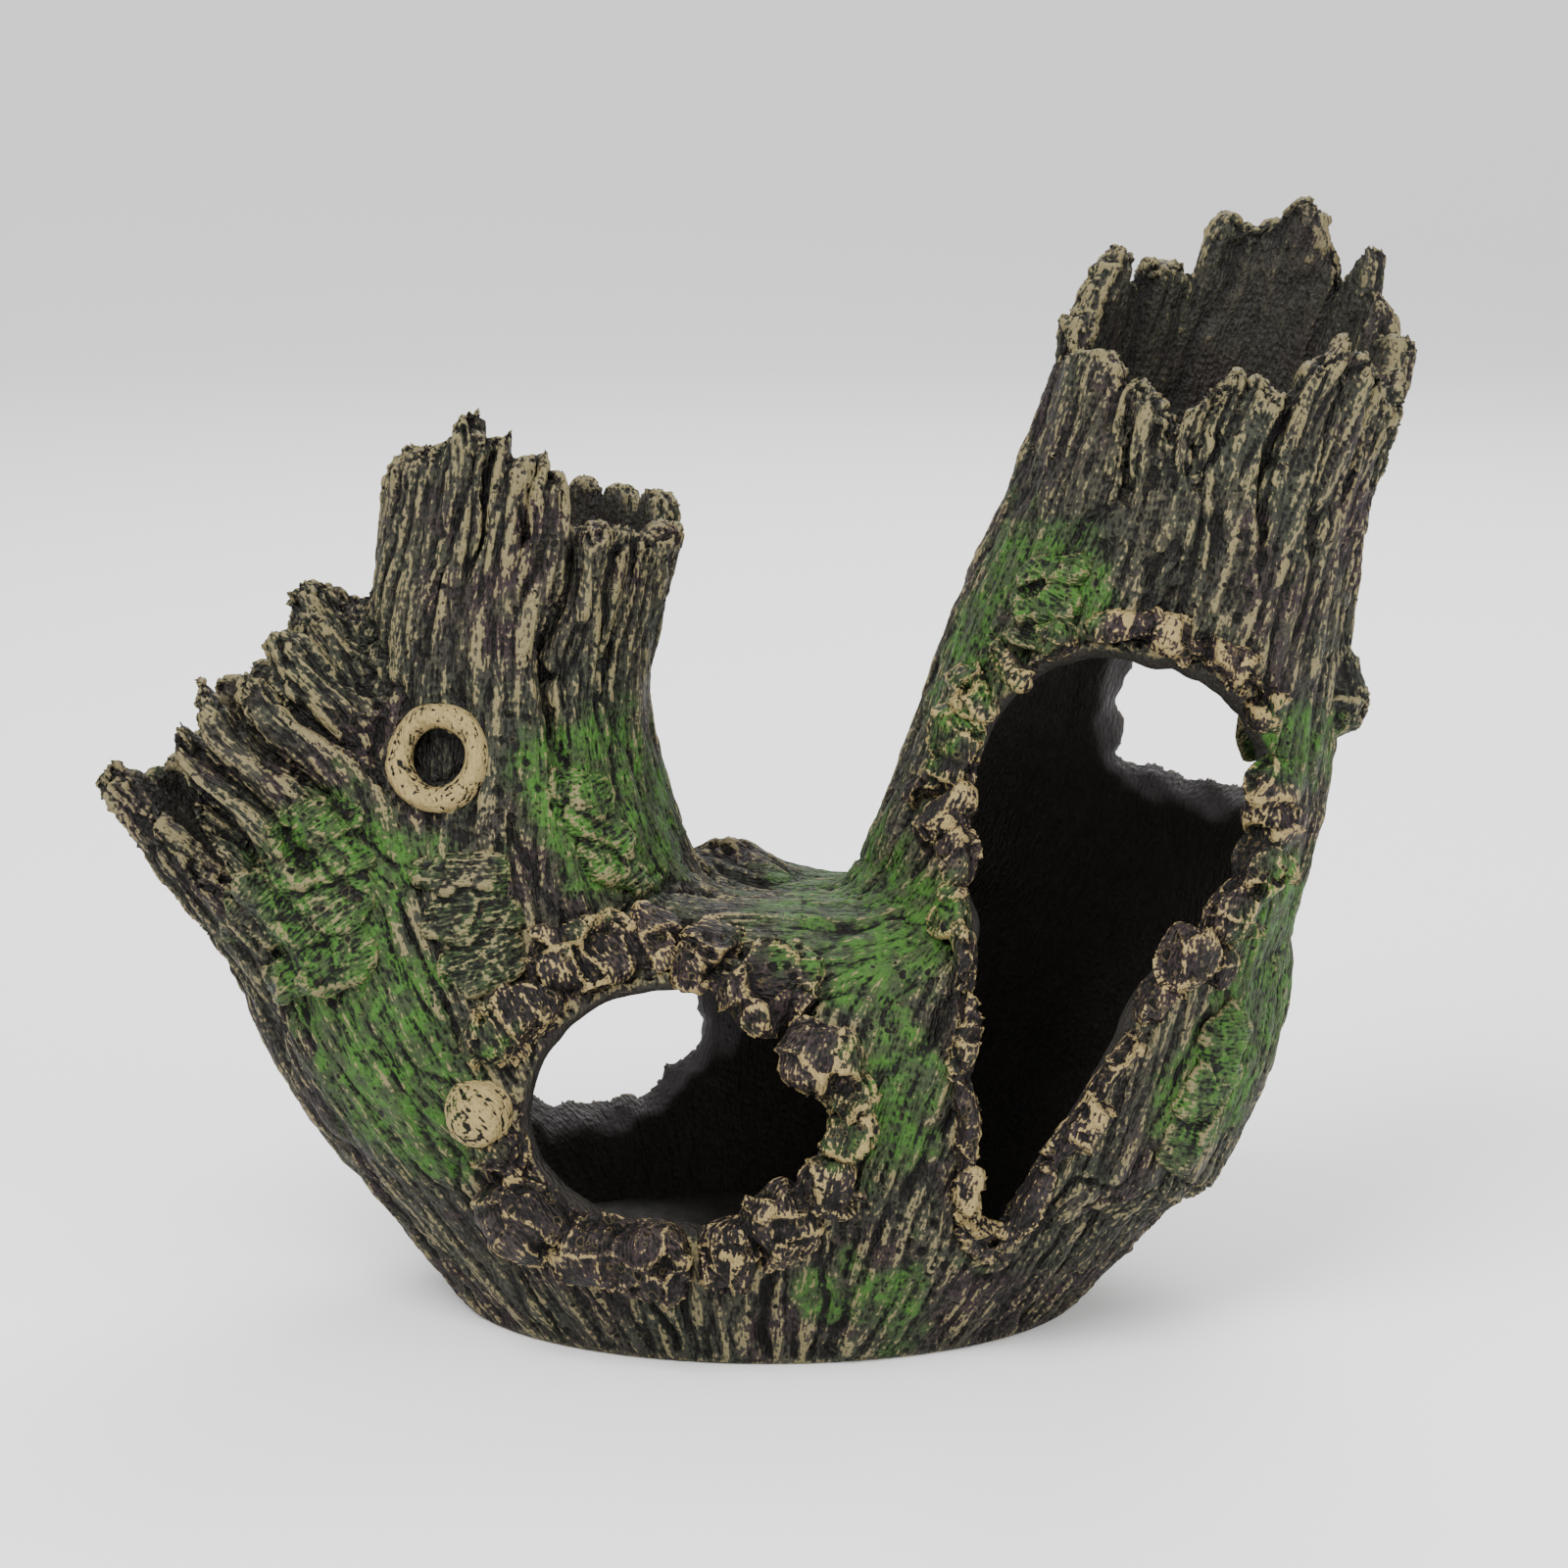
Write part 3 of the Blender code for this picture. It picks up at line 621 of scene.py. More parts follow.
def grain_angle(x, y, z):
    """Which way the wood fibres run, as an angle from +Z towards +X. Each limb's lean is
    weighed by how near its skin is, and doubled angles are averaged, as fibres have no
    front end. Round the valley they follow circles."""
    doubled = np.zeros((2, len(x)), np.float32)
    for name, limb in LIMBS.items():
        along, across, wide, deep = limb_place(limb, x, y, z)
        gap = np.maximum(oval_distance(across, y, wide, deep), 0)
        if name == "trunk":
            xs, leans = np.array(TRUNK_FAN, float).T
            lean = np.radians(np.interp(x, xs, leans))
            gap = gap + np.maximum(z - TRUNK_TOP + 12.0, 0)
        else:
            lean = math.radians(limb["lean"])
            gap = gap + np.maximum(-along, 0)
        weight = np.exp(-gap / 5.0)
        doubled += weight * np.stack([np.cos(2 * lean) + 0 * x, np.sin(2 * lean) + 0 * x])
    doubled /= np.maximum(np.hypot(*doubled), 1e-6)
    away_x, away_z = x - VALLEY[0], z - VALLEY[1]
    ring = np.arctan2(-away_z, away_x)
    swirl = 1 - smoothstep(*VALLEY_REACH, np.hypot(away_x, away_z))
    swirl = swirl * (1 - smoothstep(VALLEY[1] - 6, VALLEY[1] + 12, z))
    doubled = doubled * (1 - swirl) + swirl * np.stack([np.cos(2 * ring), np.sin(2 * ring)])
    wander = 0.16 * noise(x, y, z, 17.0, 3) + 0.10 * noise(x, y, z, 6.0, 4)
    return 0.5 * np.arctan2(doubled[1], doubled[0]) + wander


def grain_direction(points, normals):
    """The fibre direction laid flat on the surface: its part along the normal is taken off."""
    turn = grain_angle(*points.T.astype(np.float32))
    way = np.stack([np.sin(turn), 0 * turn, np.cos(turn)], 1)
    way -= normals * (way * normals).sum(1)[:, None]
    return way / np.maximum(np.linalg.norm(way, axis=1), 0.15)[:, None]


def fibre_noise(points, way, wave, reach, seed, taps=9):
    """Noise drawn out along the fibres: the bell-weighted mean of noise at points spaced along
    the fibre direction, scaled to a standard deviation of a half."""
    steps = np.linspace(-1, 1, taps)
    bell = np.exp(-2 * steps**2)
    total = 0
    for step, share in zip(steps, bell / bell.sum()):
        total = total + share * noise(*(points + step * reach * way).T, wave, seed)
    return total * (0.5 / total.std())


def ridged(values, sharp):
    """1 along the lines where the noise passes through nought, falling off to each side."""
    return np.clip(1 - np.abs(values) * sharp, 0, 1)


def bark_relief(points, normals):
    """The bark's height in mm. Strips of wood lie along the fibres, with grooves where slow
    and quick fibre noise pass through nought, and a few deep cracks. Returns the height, the
    height of the fine strips alone from -1 to 1, and the fibre direction."""
    way = grain_direction(points, normals)
    coarse = fibre_noise(points, way, 4.6, 22.0, 5)
    strips = ridged(fibre_noise(points, way, 2.5, 14.0, 6, taps=13), 2.2)
    threads = fibre_noise(points, way, 1.4, 8.0, 7, taps=13)
    grooves = ridged(threads, 2.0)
    lumps = noise(*points.T, 2.6, 8) + 0.8 * noise(*points.T, 1.2, 9)
    crack = ridged(fibre_noise(points, way, 7.0, 34.0, 10, taps=11), 5.0)
    height = 0.25 * coarse - 0.55 * strips**1.5 - 0.55 * grooves + 0.13 * lumps - 1.0 * crack
    fine = 0.5 * threads - 0.5 * strips - 0.5 * grooves + 0.15 * coarse + 0.25 * lumps - 0.9 * crack
    return height + 0.35, np.clip(fine + 0.4, -1.5, 1.5), way


def standing_out(vertices, normals, quads, rounds=6):
    """How far each vertex stands out from its surroundings, from -1.5 to 1.5: its distance
    along its normal from its neighbours' mean, where the mean is taken a few times over.
    Vertices with fewer than four sides, such as a seam's, count as flat."""
    ends = np.concatenate([quads[:, (k, (k + 1) % 4)] for k in range(4)])
    count = np.maximum(np.bincount(ends[:, 0], minlength=len(vertices)), 1)
    mean = vertices.copy()
    for _ in range(rounds):
        for k in range(3):
            mean[:, k] = np.bincount(ends[:, 0], mean[ends[:, 1], k], len(vertices)) / count
    out = ((vertices - mean) * normals).sum(1) * (count > 3)
    return np.clip(out / (2 * out.std()), -1.5, 1.5)


def crackle(points, size, seed):
    """Cells round random points, one in each cell of a lattice. Returns the distances to the
    nearest and second nearest point, which are equal along the cracks between cells, and the
    height of a flat facet tilted a random way in each cell: the offset times a random vector."""
    base = np.floor(points / size)
    best = np.full(len(points), 9.0)
    second, facet = best.copy(), np.zeros(len(points))
    for corner in np.stack(np.meshgrid(*[(-1, 0, 1)] * 3, indexing="ij"), -1).reshape(-1, 3):
        cell = (base + corner).astype(np.int64) % NOISE_SIZE
        row = (cell[:, 0] * NOISE_SIZE + cell[:, 1]) * NOISE_SIZE + cell[:, 2]
        picks = [noise_table[(row + 7919 * (k + 1 + seed)) % NOISE_SIZE**3] for k in range(6)]
        away = points / size - (base + corner + 0.5 + 0.45 * np.stack(picks[:3], 1))
        gap = np.linalg.norm(away, axis=1)
        facet = np.where(gap < best, (away * np.stack(picks[3:], 1)).sum(1), facet)
        second = np.minimum(second, np.maximum(best, gap))
        best = np.minimum(best, gap)
    return best * size, second * size, facet * size


def make_mesh(name, vertices, quads, normals=None, fields=None):
    """A mesh object from whole arrays in millimetres, with its vertex normals and fields."""
    used, index = np.unique(quads.ravel(), return_inverse=True)
    mesh = bpy.data.meshes.new(name)
    mesh.vertices.add(len(used))
    mesh.vertices.foreach_set("co", (vertices[used] * MM).astype(np.float32).ravel())
    mesh.loops.add(quads.size)
    mesh.loops.foreach_set("vertex_index", index.astype(np.int32))
    mesh.polygons.add(len(quads))
    mesh.polygons.foreach_set("loop_start", np.arange(0, quads.size, 4, dtype=np.int32))
    mesh.update(calc_edges=True)
    mesh.shade_smooth()
    for field, values in (fields or {}).items():
        kind, key = ("FLOAT_VECTOR", "vector") if values.ndim == 2 else ("FLOAT", "value")
        layer = mesh.attributes.new(field, kind, "POINT")
        layer.data.foreach_set(key, values[used].astype(np.float32).ravel())
    if normals is not None:
        mesh.normals_split_custom_set_from_vertices(normals[used].astype(np.float32))
    piece = bpy.data.objects.new(name, mesh)
    bpy.context.scene.collection.objects.link(piece)
    return piece


values, corner = sample_blocks(lambda *at: wall_field(*at)[0], MAP_FROM, highest + MARGIN, FINE)
solid = values < 0
labels = np.zeros(values.shape, np.int8)
labels[solid] = section_of(*(corner + FINE * np.argwhere(solid)).T)
body, on_skin, section_faces = surface_nets(values, labels, corner, FINE)
del values, labels, solid
skin_quads = np.concatenate([quads[skin] for quads, skin in section_faces.values()])
body_normals = vertex_normals(body, skin_quads)

at_body = body.T.astype(np.float32)
_, outer, inner = wall_field(*at_body)
hidden = smoothstep(-1.5, 1.5, -inner - outer)      # 1 on the hollow's walls
mouth = tip = 0
# How much light reaches each limb's hollow near its open end, most in the tall log and least in the
# stump: the painted shade inside is lifted there.
for name, light in (("tall", 1.0), ("stump", 0.35), ("branch", 0.5)):
    limb_outer, limb_inner, below = limb_fields(name, *at_body)
    lit = light * np.exp(-below / 20.0) * smoothstep(5.0, 1.0, np.abs(limb_inner))
    mouth = np.maximum(mouth, lit)
    near = smoothstep(5.0, 1.0, np.minimum(np.abs(limb_inner), np.abs(limb_outer)))
    tip = np.maximum(tip, np.exp(-below / 3.5) * near)
cut = 0
for name, cave in CAVES.items():
    edge = smoothstep(-1.2, -0.2, cave_field(name, *at_body, outer))
    cut = np.maximum(cut, edge)
    # The front caves' cut faces below the skin count with the hollow, so they take its flat
    # near-black too.
    if cave["side"] < 0:
        hidden = np.maximum(hidden, edge * smoothstep(-0.3, -1.0, outer))
# The rear holes' cut edges, which are painted pale grey as light shining in through the caves.
lit_rear_edge = cut * (body[:, 1] > 0)

MOSS_SPOTS = (              # airbrushed patches: (x, z, radius, strength)
    (-55.1, 70.1, 7.7, 0.8), (-55.8, 59.9, 8.6, 1), (-52.2, 41.6, 9.6, 0.9),
    (-44.4, 35.2, 8.6, 0.8), (-44.3, 68.9, 5.8, 0.6), (-21.7, 73.8, 8.6, 1.2),
    (-27.8, 78.9, 5.8, 0.8), (-17.9, 68, 7.7, 1.1), (2.6, 60.2, 6.7, 0.6),
    (13.1, 60.2, 8.6, 0.8), (23, 59.6, 5.8, 0.8), (16.4, 45.9, 7.7, 0.8),
    (16.4, 33.1, 7.7, 0.8), (16.7, 8.7, 6.7, 1), (7.8, 10.2, 4.8, 0.7),
    (61.9, 40.1, 8.6, 0.9), (58, 32.1, 6.7, 1), (67.3, 54.4, 6.7, 0.8),
    (36.7, 102.3, 7.7, 1.2), (28.1, 90.8, 5.8, 0.8), (23.3, 83.1, 5.8, 0.5),
    (70.1, 81.2, 6.7, 0.5), (-39.6, 25.7, 6.7, 0.5), (-57.3, 50.7, 6.7, 0.9),
    (-35.1, 44.6, 5.8, 0.6), (-2.7, 65.7, 5.8, 0.5), (-48.0, 50.0, 8.0, 0.7),
    (-50.0, 32.0, 7.0, 0.6), (68.5, 80.0, 5.5, 0.8), (69.0, 63.0, 5.5, 0.7),
    (64.0, 46.0, 6.5, 0.7),
)


def moss_at(points):
    """How much moss green was sprayed at each point: a sum of soft round patches at the front,
    and slow noise behind, both broken up by finer noise."""
    x, y, z = points.T
    front = 0
    for sx, sz, radius, strength in MOSS_SPOTS:
        front = front + strength * np.exp(-((x - sx) ** 2 + (z - sz) ** 2) / radius**2)
    back = smoothstep(0.1, 0.7, noise(x, y, z, 26.0, 20)) * smoothstep(125, 90, z)
    amount = np.where(y < 0, front, 0) * smoothstep(6, -6, y) + back * smoothstep(-6, 6, y)
    ragged = 0.7 * noise(x, y, z, 5.0, 21) + 0.5 * noise(x, y, z, 2.2, 22)
    return 0.92 * smoothstep(0.22, 0.9, amount + 0.5 * ragged)


moss = moss_at(body) * (1 - hidden)
relief, fine, way = bark_relief(body, body_normals)
pit, _, _ = crackle(body, 3.0, 1)
pitted = smoothstep(-0.1, 0.5, noise(*body.T, 11.0, 12) + 0.5 * tip)
relief = relief - 0.55 * pitted * (1 - smoothstep(0.35, 0.95, pit))
calm = (1 - 0.85 * hidden * (1 - mouth)) * (1 - 0.8 * cut) * (1 - 0.4 * moss)
footing = smoothstep(0.2, 2.0, body[:, 2])
lift = relief * calm * footing * on_skin
body_grown = body + body_normals * lift[:, None]
body_grown[:, 2] = np.maximum(body_grown[:, 2], 0)
body_normals = vertex_normals(body_grown, skin_quads)
from_knot = np.hypot(body[:, 0] - KNOT[0], body[:, 2] - KNOT[1])
in_knot = smoothstep(KNOT_HOLE + 0.8, KNOT_HOLE - 0.4, from_knot) * (body[:, 1] < 0)
proud = standing_out(body_grown, body_normals, skin_quads)
fine = (0.45 - 0.2 * moss) * fine + 0.8 * proud - 0.9 * in_knot
paint_fields = {
    "fine": fine, "hidden": hidden, "mouth": mouth, "cut": lit_rear_edge, "moss": moss, "tip": tip,
    "pit": pit / np.maximum(pitted, 0.05), "grain": way,
}


# ---------------------------------------------------------------- the paint
# Water-based paints laid on by hand in this order: a patchy body coat with a black wash left
# in its grooves, moss green from an airbrush, and tan dry-brushed over the high points. The
# casting's bubbles show through as pinholes. The hollows' walls are painted flat near-black as
# shade, lifted near the open ends where light reaches in, and the rear holes' cut edges are
# painted pale grey as light shining through the caves.
def feed(socket, source):
    """Gives a socket a value, or a link where the source is another socket."""
    if isinstance(source, bpy.types.NodeSocket):
        socket.id_data.links.new(source, socket)
    else:
        socket.default_value = source


def node(tree, kind, inputs, **settings):
    """Adds a shader node with its settings, and feeds its sockets by name or number."""
    made = tree.nodes.new(kind)
    for key, value in settings.items():
        setattr(made, key, value)
    for key, source in inputs.items():
        feed(made.inputs[key], source)
    return made


def attribute(tree, name, output="Fac"):
    """The value of a painted-on field."""
    return node(tree, "ShaderNodeAttribute", {}, attribute_name=name).outputs[output]


def calculate(operation, *operands):
    """A Math node's result, in the tree of those operands that are sockets."""
    tree = next(o.id_data for o in operands if isinstance(o, bpy.types.NodeSocket))
    return node(tree, "ShaderNodeMath", dict(enumerate(operands)), operation=operation).outputs[0]


def between(value, low, high, start=0.0, end=1.0):
    """A smooth step from start to end as the value goes from low to high."""
    limits = {"From Min": low, "From Max": high, "To Min": start, "To Max": end}
    return node(value.id_data, "ShaderNodeMapRange", {"Value": value, **limits},
                interpolation_type="SMOOTHSTEP").outputs["Result"]


def blend_colour(share, first, second):
    """Two colours mixed by a share; each is a socket or an (r, g, b, 1) value."""
    return node(share.id_data, "ShaderNodeMix", {0: share, 6: first, 7: second},
                data_type="RGBA", clamp_factor=True).outputs[2]


def grain_noise(place, scale, detail=3.0):
    """Blender's noise, from 0 to 1, at so many cells to the metre."""
    inputs = {"Vector": place, "Scale": scale, "Detail": detail, "Roughness": 0.6}
    return node(place.id_data, "ShaderNodeTexNoise", inputs).outputs["Fac"]


def moved(place, way, distance):
    """A place shifted along a vector: place + way times distance."""
    tree = place.id_data
    shift = node(tree, "ShaderNodeVectorMath", {0: way, "Scale": distance}, operation="SCALE")
    inputs = {0: place, 1: shift.outputs[0]}
    return node(tree, "ShaderNodeVectorMath", inputs, operation="ADD").outputs[0]


SOCKET_KINDS = {0: "NodeSocketFloat", 3: "NodeSocketVector", 4: "NodeSocketColor"}


def new_group(name, inputs, outputs):
    """An empty shader node group with named sockets. Each socket's kind follows from its
    default: a number, a vector of three or a colour of four."""
    group = bpy.data.node_groups.new(name, "ShaderNodeTree")
    for direction, sockets in (("INPUT", inputs), ("OUTPUT", outputs)):
        for label, default in sockets.items():
            kind = SOCKET_KINDS[len(default) if isinstance(default, tuple) else 0]
            socket = group.interface.new_socket(label, in_out=direction, socket_type=kind)
            if direction == "INPUT":
                socket.default_value = default
    given, result = (group.nodes.new("NodeGroup" + end) for end in ("Input", "Output"))
    return group, given.outputs, result.inputs


def use_group(tree, group, inputs):
    """Places a node group in a material, and returns its outputs."""
    return node(tree, "ShaderNodeGroup", inputs, node_tree=group).outputs


BLACK_WASH = (0.0030, 0.0026, 0.0020, 1)
GREY_GREEN = (0.027, 0.0295, 0.0195, 1)
PURPLE_BROWN = (0.026, 0.0155, 0.0170, 1)
WARM_GREY = (0.043, 0.040, 0.026, 1)
TAN = (0.170, 0.142, 0.070, 1)
RIM_TAN = (0.275, 0.208, 0.088, 1)
MOSS_BRIGHT = (0.039, 0.112, 0.015, 1)
MOSS_DULL = (0.028, 0.053, 0.014, 1)
# Painted shade: the flat near-black of the hollows' walls, where little light reaches.
HOLLOW_SHADE = (0.019, 0.0168, 0.014, 1)
# A painted highlight: the pale grey of the rear holes' cut edges, lit through the caves.
LIT_EDGE_GREY = (0.095, 0.088, 0.088, 1)

# Wood fibre: noise averaged at points spaced along the grain, which draws its cells out.
wood_fibre, given, result = new_group(
    "wood_fibre",
    {"Coordinates": (0, 0, 0), "Grain": (0, 0, 1), "Scale": 1000.0, "Reach": 0.001},
    {"Value": 0.0},
)
FIBRE_TAPS = (-1.0, -0.5, 0.0, 0.5, 1.0)
total = -0.5 * len(FIBRE_TAPS)
for share in FIBRE_TAPS:
    step = calculate("MULTIPLY", given["Reach"], share)
    inputs = {"Vector": moved(given["Coordinates"], given["Grain"], step),
              "Scale": given["Scale"], "Detail": 1.0, "Roughness": 0.5}
    sample = node(wood_fibre, "ShaderNodeTexNoise", inputs)
    total = calculate("ADD", total, sample.outputs["Fac"])
feed(result["Value"], calculate("MULTIPLY", total, 1.7))

# The painted coat: a black wash that stays in the grooves of a patchy grey-green body coat.
painted_coat, given, result = new_group(
    "painted_coat",
    {"Coordinates": (0, 0, 0), "Height": 0.0, "Body": GREY_GREEN, "Patches": PURPLE_BROWN,
     "Wear": WARM_GREY},
    {"Color": GREY_GREEN},
)
patchy = between(grain_noise(given["Coordinates"], 55.0), 0.42, 0.60)
coat = blend_colour(patchy, given["Body"], given["Patches"])
worn = between(grain_noise(given["Coordinates"], 130.0), 0.46, 0.64)
coat = blend_colour(worn, coat, given["Wear"])
feed(result["Color"], blend_colour(between(given["Height"], -0.75, 0.45), BLACK_WASH, coat))

# Moss: green sprayed over everything it reaches, brightest where it is thickest.
moss_spray, given, result = new_group(
    "moss_spray",
    {"Coordinates": (0, 0, 0), "Color": GREY_GREEN, "Amount": 0.0, "Height": 0.0},
    {"Color": GREY_GREEN},
)
clump = grain_noise(given["Coordinates"], 420.0)
green = blend_colour(between(clump, 0.40, 0.62), MOSS_DULL, MOSS_BRIGHT)
green = blend_colour(between(given["Height"], -0.9, 0.1), BLACK_WASH, green)
cover = calculate("MULTIPLY", given["Amount"], between(clump, 0.25, 0.6, 0.55, 1.0))
feed(result["Color"], blend_colour(cover, given["Color"], green))

# Dry-brushing: pale paint dragged over the high points only, broken up where it ran dry.
dry_brush, given, result = new_group(
    "dry_brush",
    {"Coordinates": (0, 0, 0), "Color": GREY_GREEN, "Height": 0.0, "Reach": 0.5, "Paint": TAN},
    {"Color": GREY_GREEN},
)
dryness = calculate("MULTIPLY_ADD", grain_noise(given["Coordinates"], 170.0), 1.1, -0.55)
raised = calculate("ADD", given["Height"], dryness)
above = calculate("SUBTRACT", raised, calculate("SUBTRACT", 1.0, given["Reach"]))
brushed = between(above, 0.0, 0.34, 0.0, 0.92)
feed(result["Color"], blend_colour(brushed, given["Color"], given["Paint"]))

# Pinholes: bubbles in the casting in two sizes, dark inside, which the dry brush leaves
# ringed with tan. Each cell of the texture holds one bubble of its own random size.
pinholes, given, result = new_group(
    "pinholes",
    {"Coordinates": (0, 0, 0), "Color": GREY_GREEN, "Scale": 560.0, "Share": 1.0, "Ring": TAN,
     "Ring Share": 0.5},
    {"Color": GREY_GREEN, "Depth": 0.0},
)
inputs = {"Vector": given["Coordinates"], "Scale": 700.0, "Detail": 1.0}
bend = node(pinholes, "ShaderNodeTexNoise", inputs).outputs["Color"]
bend = node(pinholes, "ShaderNodeVectorMath", {0: bend, 1: (0.5, 0.5, 0.5)}, operation="SUBTRACT")
bent = moved(given["Coordinates"], bend.outputs[0], 0.0014)
dense = between(grain_noise(given["Coordinates"], 190.0), 0.36, 0.62, 0.25, 1.0)
hole = ring = 0.0
for finer, share in ((1.0, 0.46), (1.9, 0.40)):
    inputs = {"Vector": bent, "Scale": calculate("MULTIPLY", given["Scale"], finer),
              "Randomness": 1.0}
    bubbles = node(pinholes, "ShaderNodeTexVoronoi", inputs, feature="F1").outputs
    pick = node(pinholes, "ShaderNodeSeparateColor", {"Color": bubbles["Color"]}).outputs[0]
    size = calculate("MULTIPLY", between(pick, 0.15, 1.0, 0.0, share), dense)
    size = calculate("MULTIPLY", size, given["Share"])
    gap = calculate("SUBTRACT", bubbles["Distance"], size)
    there = between(size, 0.03, 0.09)
    in_hole = calculate("MULTIPLY", there, between(gap, -0.07, 0.03, 1.0, 0.0))
    in_ring = calculate("MULTIPLY", there, between(gap, 0.03, 0.15, 1.0, 0.0))
    hole, ring = calculate("MAXIMUM", hole, in_hole), calculate("MAXIMUM", ring, in_ring)
ring = calculate("MULTIPLY", ring, given["Ring Share"])
colour = blend_colour(hole, blend_colour(ring, given["Color"], given["Ring"]), BLACK_WASH)
feed(result["Color"], colour)
feed(result["Depth"], hole)


def new_material(name):
    """An empty material: its node tree, its Principled shader's inputs, and Object
    coordinates."""
    material = bpy.data.materials.new(name)
    material.use_nodes = True
    tree = material.node_tree
    at = node(tree, "ShaderNodeTexCoord", {}).outputs["Object"]
    return material, tree, tree.nodes["Principled BSDF"].inputs, at


def painted_resin(name, coat, brush, reach, tan_share, hole_share, walls=False):
    """A hand-painted resin material: coat, moss, dry brush and pinholes, in the order they
    are laid on. `coat` is the body colour, its patches and its wear. `reach` is how far down
    from the high points the brush goes. On walls, the hollows' insides are painted flat
    near-black as shade, lighter near the open ends where light reaches in, and the rear holes'
    cut edges pale grey as a painted highlight of light through the caves."""
    material, tree, shader, at = new_material(name)
    along = {"Coordinates": at, "Grain": attribute(tree, "grain", "Vector")}
    threads = use_group(tree, wood_fibre, {"Scale": 1250.0, "Reach": 0.0022, **along})["Value"]
    specks = use_group(tree, wood_fibre, {"Scale": 2500.0, "Reach": 0.0004, **along})["Value"]
    fibre = calculate("MULTIPLY_ADD", threads, 0.50, calculate("MULTIPLY", specks, 0.65))
    height = calculate("ADD", attribute(tree, "fine"), fibre)
    given = {"Coordinates": at, "Height": height}
    coat = dict(zip(("Body", "Patches", "Wear"), coat))
    colour = use_group(tree, painted_coat, {**given, **coat})["Color"]
    moss = {"Color": colour, "Amount": attribute(tree, "moss")}
    colour = use_group(tree, moss_spray, {**given, **moss})["Color"]
    changes = {"tip": 0.45, "hidden": -0.45, "moss": -0.22} if walls else {"tip": 0.45}
    for field, change in changes.items():
        reach = calculate("MULTIPLY_ADD", attribute(tree, field), change, reach)
    paint = {"Color": colour, "Paint": brush, "Reach": reach}
    colour = use_group(tree, dry_brush, {**given, **paint})["Color"]
    holes = use_group(tree, pinholes, {"Coordinates": at, "Color": colour, "Ring": brush,
                                       "Share": hole_share, "Ring Share": tan_share})
    in_pit = between(attribute(tree, "pit"), 0.35, 0.75, 1.0, 0.0)
    colour = blend_colour(calculate("MULTIPLY", in_pit, 0.9), holes["Color"], BLACK_WASH)
    # Painted shade: the hollows' walls go flat near-black, lifted near the open ends where light
    # reaches in.
    if walls:
        unlit = calculate("SUBTRACT", 1.0, calculate("MULTIPLY", attribute(tree, "mouth"), 0.75))
        deep = calculate("MULTIPLY", attribute(tree, "hidden"), unlit)
        colour = blend_colour(deep, colour, HOLLOW_SHADE)
        # Painted highlight: the rear holes' cut edges go pale grey, as if lit through the caves.
        edge = calculate("MULTIPLY", attribute(tree, "cut"), 0.85)
        colour = blend_colour(edge, colour, LIT_EDGE_GREY)
    feed(shader["Base Color"], colour)
    feed(shader["Roughness"], between(grain_noise(at, 300.0), 0.3, 0.7, 0.50, 0.72))
    feed(shader["Specular IOR Level"], 0.18)
    surface = calculate("MULTIPLY_ADD", holes["Depth"], -0.8, fibre)
    bump = {"Strength": 0.7, "Distance": 0.00032, "Height": surface}
    feed(shader["Normal"], node(tree, "ShaderNodeBump", bump).outputs["Normal"])
    return material


BARK_COAT = (GREY_GREEN, PURPLE_BROWN, WARM_GREY)
bark = painted_resin("bark_paint", BARK_COAT, TAN, 0.42, 0.12, 0.7, walls=True)
for label, name in enumerate(SECTIONS, start=1):
    quads, _ = section_faces[label]
    piece = make_mesh(name + "_cast", body_grown, quads, body_normals, paint_fields)
    piece.data.materials.append(bark)
    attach(piece, "root")
    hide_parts(name)

# ---------------------------------------------------------------- the lumps round the lower cave
# A ring of chunky lumps of resin, cast with the wall, standing out round the cave's mouth.
# Their dark purple-brown faces are dry-brushed with tan along the edges and raised veins.
RELIEF_STEP = 0.4           # spacing of the samples that carry a lump's surface
EMBED = 0.9                 # how deep a lump's underside sits in the bark


def front_skin(x, z):
    """Y of the uncut skin seen from the front: the crossing found by halving, from in front
    of the logs to their middle."""
    near = np.full(np.shape(x), -60.0, np.float32)
    far = np.zeros(np.shape(x), np.float32)
    for _ in range(16):
        middle = 0.5 * (near + far)
        outside = body_fields(x, middle, z)[0] > 0
        near, far = np.where(outside, middle, near), np.where(outside, far, middle)
    return 0.5 * (near + far)


def seat_frame(x, z, angle=0):
    """Where a lump sits on the front skin, and its long way and cross way along the skin."""
    at = np.array([x, float(front_skin(np.float32([x]), np.float32([z]))[0]), z])
    sides = [body_fields(*np.float32((at + step)[:, None]))[0] for step in 0.4 * np.eye(3)]
    others = [body_fields(*np.float32((at - step)[:, None]))[0] for step in 0.4 * np.eye(3)]
    slope = np.array([float(a[0] - b[0]) for a, b in zip(sides, others)])
    normal = slope / np.linalg.norm(slope)
    turn = math.radians(angle)
    way = np.array([math.cos(turn), 0.0, math.sin(turn)])
    way -= normal * way.dot(normal)
    way /= np.linalg.norm(way)
    return at, way, np.cross(normal, way)


def lump(points, height, seat, half_long, half_wide, proud, power):
    """A rounded block on the skin: (|u/a|^p + |v/b|^p + |h/c|^p)^(1/p) - 1, in units of its
    smallest half size, with h the height above the skin."""
    at, way, cross = seat
    u = (points - at[:, None]).T @ way / half_long
    v = (points - at[:, None]).T @ cross / half_wide
    h = height / proud
    size = (np.abs(u) ** power + np.abs(v) ** power + np.abs(h) ** power) ** (1 / power)
    return (size - 1) * min(half_long, half_wide, proud)


